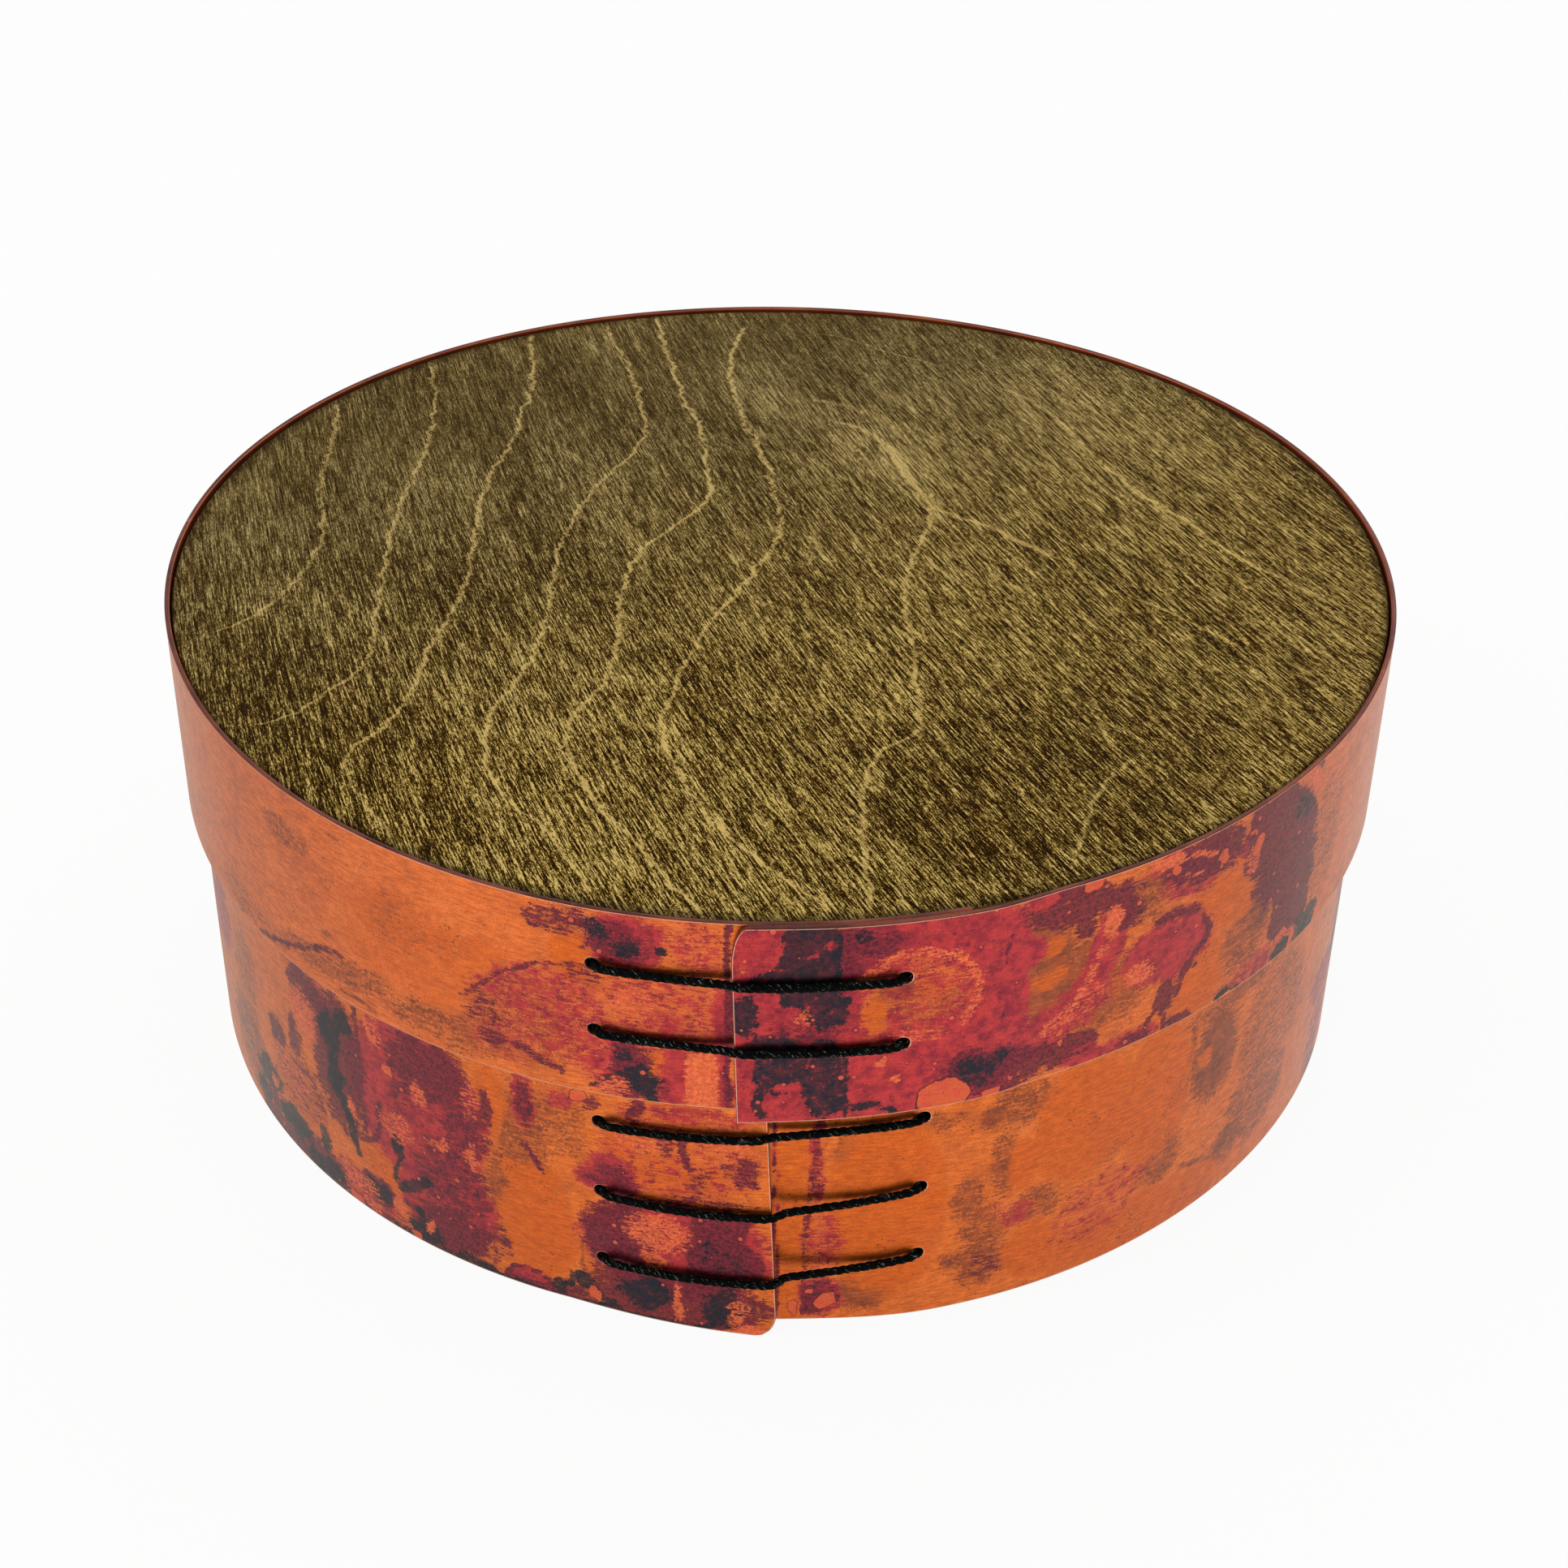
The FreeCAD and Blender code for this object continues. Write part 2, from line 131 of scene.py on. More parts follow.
camera_data = bpy.data.cameras.new("camera")
camera_data.lens = CAMERA_LENS
camera_data.sensor_width = 36.0
camera_data.clip_start = 0.01
camera = bpy.data.objects.new("camera", camera_data)
bpy.context.scene.collection.objects.link(camera)
forward = Vector((0.0, math.cos(CAMERA_PITCH), -math.sin(CAMERA_PITCH)))
level_up = Vector((0.0, math.sin(CAMERA_PITCH), math.cos(CAMERA_PITCH)))
right = Vector((1.0, 0.0, 0.0)) * math.cos(CAMERA_ROLL) - level_up * math.sin(CAMERA_ROLL)
up = Vector((1.0, 0.0, 0.0)) * math.sin(CAMERA_ROLL) + level_up * math.cos(CAMERA_ROLL)
turned = Matrix((right, up, -forward)).transposed().to_4x4()
camera.matrix_world = Matrix.Translation(CAMERA_PLACE) @ turned
bpy.context.scene.camera = camera
bpy.context.scene.view_settings.view_transform = "Standard"
print("camera at", [round(value, 4) for value in camera.location])

# %% [markdown]
# ## Small helpers for materials
# A node is made, set and wired in one call. Colours are written as they look on screen, from 0 to 255,
# and turned into the linear numbers that the shaders work with.

# %% Node helpers


def paint(red, green, blue):
    """Screen colour to linear colour."""
    shares = [value / 255.0 for value in (red, green, blue)]
    return tuple(s / 12.92 if s <= 0.04045 else ((s + 0.055) / 1.055) ** 2.4 for s in shares) + (1.0,)


def set_inputs(tree, made, inputs):
    """Sets the inputs of a node, and links those whose value is another node's socket."""
    for key, value in inputs.items():
        if isinstance(value, bpy.types.NodeSocket):
            tree.links.new(value, made.inputs[key])
        else:
            made.inputs[key].default_value = value


def node(tree, kind, inputs=None, **settings):
    """A new node with its settings made and its inputs set or linked."""
    made = tree.nodes.new("ShaderNode" + kind)
    for name, value in settings.items():
        setattr(made, name, value)
    set_inputs(tree, made, inputs or {})
    return made


def maths(tree, operation, first, second=0.0):
    """Result of one step of arithmetic."""
    return node(tree, "Math", {0: first, 1: second}, operation=operation).outputs[0]


def times(tree, first, second):
    """First times second."""
    return maths(tree, "MULTIPLY", first, second)


def plus(tree, first, second):
    """First plus second."""
    return maths(tree, "ADD", first, second)


def minus(tree, first, second):
    """First minus second."""
    return maths(tree, "SUBTRACT", first, second)


print("helpers for nodes ready")

# %% Helpers for masks and noise


def ramp(tree, value, low, high, smooth=True):
    """0 below low, 1 above high."""
    kind = "SMOOTHSTEP" if smooth else "LINEAR"
    made = node(tree, "MapRange", {"Value": value, "From Min": low, "From Max": high},
                interpolation_type=kind)
    return made.outputs["Result"]


def scaled(tree, value, low, high, at_low, at_high, clamp=True):
    """Goes from at_low to at_high while the value goes from low to high."""
    made = node(tree, "MapRange", {"Value": value, "From Min": low, "From Max": high, "To Min": at_low,
                                   "To Max": at_high}, clamp=clamp)
    return made.outputs["Result"]


def stretched(tree, place_at, scale):
    """Coordinates scaled by axis."""
    return node(tree, "Mapping", {"Vector": place_at, "Scale": scale}).outputs[0]


def shifted(tree, place_at, shift):
    """Coordinates moved by a shift."""
    return node(tree, "VectorMath", {0: place_at, 1: shift}, operation="ADD").outputs[0]


def object_millimetres(tree):
    """Object coordinates in millimetres."""
    return stretched(tree, node(tree, "TexCoord").outputs["Object"], (1.0 / MM, 1.0 / MM, 1.0 / MM))


def noise(tree, place_at, scale, detail, roughness=0.55):
    """Fractal noise between 0 and 1."""
    made = node(tree, "TexNoise", {"Vector": place_at, "Scale": scale, "Detail": detail,
                                   "Roughness": roughness})
    return made.outputs["Fac"]


def three_noises(tree, place_at, scale, detail):
    """Three noises that have nothing to do with each other."""
    made = node(tree, "TexNoise", {"Vector": place_at, "Scale": scale, "Detail": detail, "Roughness": 0.7})
    return node(tree, "SeparateColor", {0: made.outputs["Color"]}).outputs


print("helpers for masks ready")

# %% Helpers for colours, groups and materials


def mixed(tree, share, first, second, blend="MIX"):
    """Two colours mixed by a share."""
    made = node(tree, "Mix", {0: share, 6: first, 7: second}, data_type="RGBA", blend_type=blend)
    return made.outputs[2]


def washed(tree, colour, mask, strength, over):
    """A second colour laid over the first through a mask, at that strength."""
    return mixed(tree, times(tree, mask, strength), colour, over)


def shaded(tree, colour, share, least, most):
    """A colour made darker or lighter where a noise is low or high."""
    gain = scaled(tree, share, 0.3, 0.7, least, most, clamp=False)
    grey = node(tree, "CombineColor", {0: gain, 1: gain, 2: gain}).outputs[0]
    return mixed(tree, 1.0, colour, grey, "MULTIPLY")


def bumped(tree, height, strength, depth):
    """The normal that a relief gives, with its depth in millimetres."""
    return node(tree, "Bump", {"Height": height, "Strength": strength, "Distance": depth * MM}).outputs[0]


def new_group(name, inputs, outputs):
    """A shader node group with named float or vector sockets."""
    group = bpy.data.node_groups.new(name, "ShaderNodeTree")
    for label, kind in inputs:
        group.interface.new_socket(label, in_out="INPUT", socket_type="NodeSocket" + kind)
    for label in outputs:
        group.interface.new_socket(label, in_out="OUTPUT", socket_type="NodeSocketFloat")
    return group, group.nodes.new("NodeGroupInput").outputs, group.nodes.new("NodeGroupOutput")


def use_group(tree, group, inputs):
    """One use of a group in a material, with its own values."""
    made = tree.nodes.new("ShaderNodeGroup")
    made.node_tree = group
    set_inputs(tree, made, inputs)
    return made.outputs


def new_material(name):
    """An empty material and its shader."""
    material = bpy.data.materials.new(name)
    material.use_nodes = True
    tree = material.node_tree
    tree.nodes.clear()
    shader = node(tree, "BsdfPrincipled")
    node(tree, "OutputMaterial", {0: shader.outputs[0]})
    return material, tree, shader


print("helpers for colours ready")

# %% [markdown]
# ## Studio
# The box stands on a plain white floor in soft light from all sides, as on a light table. The floor and
# the sky show white to the camera, and the floor keeps a faint shadow under the box. What the copper
# mirrors of the floor is brightest in front of the box and behind it, and dimmer beside it.

# %% Floor
FLOOR_SIZE = 3.0
FLOOR_WHITE = 0.86                # share of the floor's look that is plain white, the rest being lit
CAMERA_WHITE = 0.07               # what the camera sees beyond that
WHITE = (1.0, 1.0, 1.0, 1.0)

bm = bmesh.new()
bmesh.ops.create_circle(bm, cap_ends=True, segments=64, radius=FLOOR_SIZE)
floor_mesh = bpy.data.meshes.new("floor")
bm.to_mesh(floor_mesh)
bm.free()
floor = bpy.data.objects.new("floor", floor_mesh)
bpy.context.scene.collection.objects.link(floor)
print("floor", floor.name, FLOOR_SIZE, "m")

# %% Floor material
material, tree, shader = new_material("white_table")
set_inputs(tree, shader, {"Base Color": paint(238, 238, 236), "Roughness": 0.9, "Specular IOR Level": 0.0})
rays = node(tree, "LightPath").outputs
seen = maths(tree, "MAXIMUM", rays["Is Camera Ray"], rays["Is Glossy Ray"])
seen = maths(tree, "MAXIMUM", seen, rays["Is Transmission Ray"])
at_floor = node(tree, "SeparateXYZ", {0: node(tree, "TexCoord").outputs["Object"]}).outputs
beside = maths(tree, "ABSOLUTE", minus(tree, at_floor[1], 0.02))
beside = maths(tree, "POWER", ramp(tree, beside, 0.03, 0.13, smooth=False), 1.6)
mirrored = mixed(tree, beside, (0.57, 0.56, 0.50, 1.0), (1.0, 1.0, 0.98, 1.0))
mirrored = washed(tree, mirrored, ramp(tree, at_floor[0], -0.08, 0.12), 0.3, WHITE)
light = mixed(tree, rays["Is Glossy Ray"], WHITE, mirrored)
glow = node(tree, "Emission", {"Strength": 1.0, "Color": light})
shine = plus(tree, times(tree, seen, FLOOR_WHITE), times(tree, rays["Is Camera Ray"], CAMERA_WHITE))
both = node(tree, "MixShader", {0: shine, 1: shader.outputs[0], 2: glow.outputs[0]})
tree.links.new(both.outputs[0], tree.nodes["Material Output"].inputs[0])
floor.data.materials.append(material)
print("material:", material.name)

# %% World
world = bpy.data.worlds.new("studio")
bpy.context.scene.world = world
world.use_nodes = True
tree = world.node_tree
tree.nodes.clear()
direction = node(tree, "SeparateXYZ", {0: node(tree, "TexCoord").outputs["Generated"]}).outputs
soft = mixed(tree, ramp(tree, direction[2], -0.1, 0.9), (0.66, 0.66, 0.67, 1.0), (0.80, 0.80, 0.79, 1.0))
soft = washed(tree, soft, ramp(tree, direction[1], 0.1, -0.9), 0.5, (0.42, 0.42, 0.43, 1.0))
rays = node(tree, "LightPath").outputs
shown = maths(tree, "MAXIMUM", rays["Is Camera Ray"], rays["Is Transmission Ray"])
sky = node(tree, "Background", {"Color": mixed(tree, shown, soft, WHITE), "Strength": 1.0})
node(tree, "OutputWorld", {0: sky.outputs[0]})
print("world:", world.name)

# %% Lamps
AIM = Vector((0.0, 0.0, 0.04))    # the lamps look at the middle of the box


def add_lamp(name, spot, size, watts):
    """A square soft lamp that looks at the box."""
    data = bpy.data.lights.new(name, "AREA")
    data.size = size
    data.energy = watts
    lamp = bpy.data.objects.new(name, data)
    bpy.context.scene.collection.objects.link(lamp)
    lamp.location = spot
    lamp.rotation_euler = (AIM - Vector(spot)).to_track_quat("-Z", "Y").to_euler()
    print("lamp", name, watts, "W")


add_lamp("soft_left", (-0.75, -0.35, 0.75), 0.6, 2.4)
add_lamp("soft_back", (0.45, 0.80, 0.80), 0.7, 1.6)

# %% [markdown]
# ## Copper strip
# On the real box a strip is cut flat, punched and only then bent round. The mesh is made in the same
# order. A flat grid takes the run as x, the height as y and small relief as z. Holes, burrs and stains
# are easy to put on while it is flat. Bending is one move of its points, and the wall comes last.

# %% Strip, holes and dents
HOLE_RADIUS = 0.9
BURR = 0.08                       # how far the punch lifts the copper round a hole
DIMPLE = 0.14                     # how deep the thread pulls the copper in beside a hole
DIMPLE_REACH = 4.0                # mm over which that dimple fades
CLEARED = 1.7                     # the grid is opened this many hole radii round a hole
# Rings that close the opening down to the hole: radius in hole radii, and share of the burr
RIM_RINGS = ((1.5, 0.1), (1.22, 0.5), (1.0, 1.0))
BORDER = 0.28                     # narrow cells along every cut edge, which hold its polished line with a painted highlight


def walk(start, stop, cell):
    """Places from start to stop, whose spacing is what cell gives at each of them."""
    places = [start, start + BORDER]
    while places[-1] + 1.5 * cell(places[-1]) < stop - BORDER:
        places.append(places[-1] + cell(places[-1]))
    return places + [stop - BORDER, stop]


def flat_strip(runs, heights):
    """Flat strip of sheet as a grid with its lines at those runs and heights."""
    bm = bmesh.new()
    columns = len(runs) - 1
    rows = len(heights) - 1
    bmesh.ops.create_grid(bm, x_segments=columns, y_segments=rows, size=0.5)
    for vert in bm.verts:
        column = round((vert.co.x + 0.5) * columns)
        row = round((vert.co.y + 0.5) * rows)
        vert.co = (runs[column], heights[row], 0.0)
    return bm


def dented(bm, seed, depth):
    """Slight waves that bending by hand leaves in thin sheet."""
    pick = random.Random(seed)
    waves = [(pick.uniform(0.03, 0.11), pick.uniform(-0.10, 0.10), pick.uniform(0.0, TURN))
             for _ in range(7)]
    for vert in bm.verts:
        swell = sum(math.sin(a * vert.co.x + b * vert.co.y + c) for a, b, c in waves) / len(waves)
        vert.co.z += depth * swell


def punch(bm, run, height):
    """Round hole: the grid is opened, and its rim is drawn in to a circle with a burr and a dimple."""
    centre = Vector((run, height))
    for vert in bm.verts:
        far = (vert.co.xy - centre).length
        if far < HOLE_RADIUS + DIMPLE_REACH:
            vert.co.z -= DIMPLE * (1.0 - ease(far, HOLE_RADIUS, DIMPLE_REACH))
    gone = [v for v in bm.verts if (v.co.xy - centre).length < CLEARED * HOLE_RADIUS]
    bmesh.ops.delete(bm, geom=gone, context="VERTS")
    rim = [e for e in bm.edges if e.is_boundary
           and all((v.co.xy - centre).length < 2.0 * CLEARED * HOLE_RADIUS for v in e.verts)]
    for reach, lift in RIM_RINGS:
        made = bmesh.ops.extrude_edge_only(bm, edges=rim)["geom"]
        rim = [e for e in made if isinstance(e, bmesh.types.BMEdge) and e.is_boundary]
        for vert in {v for e in rim for v in e.verts}:
            away = (vert.co.xy - centre).normalized() * HOLE_RADIUS * reach
            vert.co = (run + away.x, height + away.y, BURR * lift - DIMPLE)


print("hole radius", HOLE_RADIUS, "mm")

# %% [markdown]
# ## Stains
# Heat and chemicals colour the copper in pools: brown haze, rose, plum and blue-black ink. Golden pools lie
# over it too. Bare copper is rubbed through them again in bright patches, and drops leave rings. A pool has
# a centre, a size, a tilt and a share. A share of 1 covers, one near a half breaks up into speckle, and one
# below
# 0 wipes the colour off again. A stroke is the same along a line, for a drip, a crease and the rim of a
# pool, and for grime with painted shade beside a lap. Both go into vertex attributes, one for each stain,
# and the material gives their edges the ragged detail.

# %% Pools on the lid: run, height, half width, half height, tilt in degrees, share, and squareness
LID_POOLS = {
    "brown": [
        (-66.5, 59, 5, 2.4, 0, 0.50), (-57, 62.8, 2, 1, 0, 0.46), (-41.5, 54, 4, 2.2, 0, 0.48),
        (-48.5, 41, 3, 1.1, 0, 0.52), (-60, 47, 1.6, 0.8, 0, 0.6), (-30, 47, 9, 8, 0, 0.50),
        (-60, 42, 13, 2.6, 6, 0.50), (-41, 41.5, 9, 3.2, 0, 0.56), (-47, 55, 6, 5, 20, 0.44),
        (-80, 41, 8, 3, 0, 0.42), (14, 55.5, 2.6, 2.0, 0, 0.9), (17, 53.5, 7, 5, 0, 0.50),
        (32, 54, 5.5, 8.6, 12, 0.90), (38, 52, 4, 6, 0, 0.75), (43, 48, 6, 5.5, 0, 0.66),
        (47, 61, 4, 4.6, 0, 0.66), (40, 44.5, 5, 2.4, 10, 0.6), (64.5, 45.5, 5, 5.4, 0, 0.62),
        (61, 54, 2.4, 1.2, 0, 0.8), (57.4, 41.2, 1.9, 2.6, 0, 0.85), (67, 50, 3, 5, 0, 0.8),
        (62, 38.6, 3, 1.0, 0, 0.6), (82, 52, 5, 12, 0, 0.42), (53, 40, 3, 2, 0, 0.5)],
    "gold": [
        (-36, 55, 5, 3, 0, 0.5), (-46, 52, 12, 8, 0, 0.50), (-23.5, 58, 3, 3, 0, 1.0),
        (18.5, 55.5, 2.6, 2.0, 0, 0.66), (11.8, 52, 1.9, 4.6, 0, 0.58), (33.4, 57.4, 2.0, 1.6, 30, 0.62),
        (32.6, 52.6, 3.2, 1.6, 24, 0.64), (60.5, 55.5, 4.4, 5.6, -15, 1.0), (56, 56, 2.6, 1.0, 0, 0.9),
        (56, 44, 4.6, 6.6, 0, 1.0), (63, 51.6, 3.6, 2.2, 0, 0.9), (8.1, 37.2, 1.0, 0.7, 0, 1.0),
        (-14, 43, 1.0, 2.9, 0, 1.0), (49.6, 39, 1.6, 2.4, 0, 1.0),
        (45, 49, 4, 3, 0, 0.46)],
    "rose": [
        (-28, 51.5, 9.5, 4.6, 14, 0.50), (-31, 44, 8, 4.6, 10, 0.40), (-23, 48, 5, 7, 0, 0.52),
        (-17, 61.5, 4.8, 4.4, 0, 0.90), (-9, 61.5, 3.8, 4.4, 0, 0.52), (-12.5, 53.5, 8.5, 4.4, 0, 0.48),
        (-12, 48, 8, 3, 0, 0.60), (-11.4, 42, 2.2, 5.4, 0, 0.90), (-5.8, 46, 1.2, 12, 0, 0.85),
        (-19, 44, 4, 6, 0, 0.66), (2.0, 51, 7.2, 17, 0, 1.0, 8), (19, 51, 11.5, 17, 0, 1.0, 4),
        (17.3, 55, 6.4, 5.4, 0, -0.58), (11.8, 52.5, 1.6, 4.8, 0, -0.75), (30.2, 58, 2.2, 2.4, 0, 1.0),
        (32, 64.5, 2.6, 1.6, 0, 1.0), (35, 45.6, 9, 3.4, 28, 0.74), (50.5, 50.8, 6.8, 5.2, 0, 1.0),
        (50, 64, 5, 1.8, 0, 0.7), (67.5, 39.3, 5.2, 2.4, 0, 0.62), (45, 38.6, 5, 1.6, 0, 0.8),
        (27, 38, 3, 1.6, 0, 0.9), (54, 61, 6, 4, 0, 0.66), (38.5, 39, 3, 2, 0, 0.9)],
    "plum": [
        (-24, 63, 5.6, 2.6, 0, 0.64), (-18.5, 61, 4.2, 3.4, 0, 0.66), (-34.5, 42.6, 2.2, 1.6, 0, 0.7),
        (-36, 46.5, 2.6, 3.2, 0, 0.46), (-16.6, 43.6, 2.5, 3.0, 0, 0.92), (-16.5, 40, 4, 2.2, 0, 0.85),
        (-22, 55.6, 3, 1.4, 0, 0.5), (11, 62.8, 3.6, 2.8, 0, 0.70), (8.4, 61, 1.9, 5.2, 0, 0.85),
        (4, 50, 5, 2, 0, 0.62), (24, 42.3, 4.0, 3.1, 8, 1.0), (30, 41, 7, 2.6, -3, 1.0),
        (36.8, 40.9, 4.6, 2.3, 0, 0.95), (28, 39, 3.4, 1.9, 0, 0.95), (28.4, 39.3, 2.2, 0.7, 0, -0.5),
        (39.4, 39.5, 2.2, 1.4, 0, -0.45), (37, 62.7, 8, 3.0, -5, 1.0), (43, 60.4, 2.2, 4.0, 24, 1.0),
        (31.4, 64.7, 2.2, 1.3, 0, -1.0), (37.4, 59.4, 1.5, 1.8, 0, 0.95), (56, 62.4, 7, 3.6, 0, 0.96),
        (70.6, 60.5, 8.0, 6.6, 0, 1.0, 5), (72, 53, 6.8, 5.6, 0, 1.0), (74.6, 46.4, 5.0, 5.6, 0, 1.0, 4),
        (46, 38.4, 2.6, 1.0, 0, 0.9), (53.6, 38.2, 2.2, 1.1, 0, 0.95), (50.6, 43.4, 1.4, 2.8, 0, 0.9),
        (54.4, 46.6, 0.6, 0.6, 0, 1.0), (55.6, 45.8, 0.5, 0.5, 0, 1.0), (-72, 38.8, 4, 0.7, 10, 0.55)],
    "ink": [
        (4.4, 61, 3.3, 5.6, 0, 1.0, 5), (2.6, 57.6, 4.6, 1.7, -10, 1.0), (6.5, 63, 0.8, 0.8, 0, -1.0),
        (4.5, 61, 0.6, 0.6, 0, -1.0), (-3.3, 52.6, 1.6, 3.0, 0, 0.98), (2.8, 55.2, 2.0, 1.2, 0, 1.0),
        (6.5, 53.5, 2.5, 3.0, 0, 0.86), (-0.4, 48.3, 3.0, 1.8, 0, 1.0), (4.5, 47.6, 3.4, 1.2, 0, 0.85),
        (1.1, 43.7, 3.0, 3.1, 0, 0.76, 4), (6.4, 42.3, 2.6, 4.8, 0, 0.78, 4), (1.0, 42, 1.2, 0.6, 0, -1.0),
        (2.8, 41.3, 1.0, 1.0, 0, -0.9), (14, 37.7, 0.5, 0.5, 0, 1.0), (-17, 61, 1.9, 1.5, 0, 0.9),
        (25, 42.2, 3.6, 2.6, 8, 0.62),
        (-13, 60.8, 0.8, 0.9, 0, 1.0), (-20.6, 62.5, 1.6, 2.4, 30, 0.62), (-15.6, 41.2, 2.2, 2.6, 0, 0.84),
        (-17.6, 44.5, 1.4, 1.2, 0, 0.6), (73.6, 38.5, 1.9, 1.2, 0, 1.0), (79.2, 39.8, 3.2, 2.5, 0, 1.0),
        (62, 38.1, 2.4, 0.6, 0, 0.8), (75, 61, 3, 3, 0, 0.45), (10.5, 64, 1.5, 1.0, 0, 0.6)],
    "bright": [
        (-8.3, 41.8, 2.0, 4.6, 0, 0.92, 5), (-19, 39.7, 2.6, 1.4, 18, 0.62), (-17, 52, 5, 3, 0, 0.42),
        (-9, 62, 2, 3, 0, 0.42), (-3, 60, 0.8, 1.4, 0, 0.42), (14.5, 42.5, 0.5, 0.5, 0, 1.0),
        (12.5, 45, 0.8, 0.8, 0, 0.9), (17, 48.6, 4, 1.4, 0, 0.45), (41.4, 58.4, 1.5, 2.4, 0, 0.85),
        (49, 64.3, 3.2, 1.1, -12, 1.0), (46.6, 48.5, 2.2, 2.0, 0, 0.8), (76.4, 63.6, 3.0, 1.4, -36, 1.0),
        (64, 57.6, 1.6, 2.6, 0, 0.6), (3.9, 52.7, 1.3, 0.9, 0, 0.5), (38, 47, 5, 2, 40, 0.42)],
    "drop": [
        (20.6, 38.3, 3.8, 2.9, 0, 1.0), (26.5, 37.8, 1.2, 0.6, 0, 1.0), (38.4, 65, 1.6, 1.1, 0, 1.0),
        (35.7, 43.7, 0.45, 0.45, 0, 1.0), (35.8, 42.4, 0.55, 0.55, 0, 1.0), (50.5, 62.4, 0.8, 1.1, 0, 1.0),
        (58.5, 61, 1.0, 1.0, 0, 1.0), (65, 60, 1.1, 1.4, 0, 1.0), (63.8, 62.4, 0.6, 0.6, 0, 1.0),
        (61, 58.5, 0.6, 0.6, 0, 1.0), (73.2, 41, 1.6, 1.1, 0, 1.0), (75.6, 39.6, 0.9, 1.6, 0, 1.0)],
}
print("pools on the lid:", sum(len(pools) for pools in LID_POOLS.values()))

# %% Strokes on the lid: half width, share, then the run and height of each point
LID_STROKES = {
    "brown": [
        (0.35, 0.8, (-58, 39), (-55, 39.2), (-52, 38.9))],
    "rose": [
        (2.4, 0.80, (29, 44.4), (33, 43.2), (37.5, 47.5), (40.5, 53), (42, 59)),
        (0.7, 0.9, (63.4, 62.4), (62, 59.8))],
    "plum": [
        (0.55, 0.72, (-75, 38.3), (-71, 39.5), (-67, 41), (-63, 43), (-60, 44.5), (-57.5, 44.7)),
        (0.40, 0.66, (-38, 48), (-33, 53), (-28, 56), (-23, 57.2)),
        (0.80, 0.70, (-31, 42.6), (-28.5, 41.4), (-25.5, 40.4)),
        # grime along the lid's lap edge, with painted shade of the outer end over it
        (0.42, 0.95, (-5.2, 37), (-5.2, 66)),
        (0.24, 0.66, (27.3, 49), (27.1, 55), (27.6, 62)),
        (0.80, 0.80, (48.5, 55.6), (51, 56.1), (54.6, 55.2)),
        (0.60, 0.84, (56, 53.4), (57, 51), (56.5, 49.5), (55, 48), (53.5, 46), (52.5, 43)),
        (0.32, 1.00, (48.1, 37.6), (48.3, 40.4), (49.6, 41.7), (51, 40), (51.2, 37.6)),
        (1.10, -1.0, (72.5, 66), (76.8, 63.4), (79.4, 58.4)),
        (0.35, 0.80, (24.4, 38.2), (23.6, 40), (22, 41.2))],
    "ink": [
        (0.55, 1.00, (-1.3, 42.5), (-2.0, 39.6), (-1.0, 37.4)),
        (0.35, 1.00, (1.2, 64.6), (1.5, 62), (0.2, 59.5), (-3, 57.6)),
        (0.60, 0.80, (8.3, 39.4), (10, 38.4), (12.2, 38.5)),
        (0.80, 1.00, (-15.4, 40.4), (-14, 38.2)),
        (0.35, 0.80, (-21.6, 39.2), (-19, 41.2), (-16.6, 41.4)),
        (0.30, 0.70, (8.7, 37), (8.8, 47))],
    "bright": [
        (0.75, 0.62, (10, 57.5), (13, 60.5), (17, 61.3), (21, 60), (23.5, 57), (24, 53), (22.4, 50)),
        (0.90, 0.52, (33.5, 44.5), (38, 49), (40.6, 55)),
        (0.35, 0.90, (53, 64), (57, 62.2)),
        (0.30, 0.80, (52, 61), (55, 60.2))],
}
print("strokes on the lid:", sum(len(strokes) for strokes in LID_STROKES.values()))

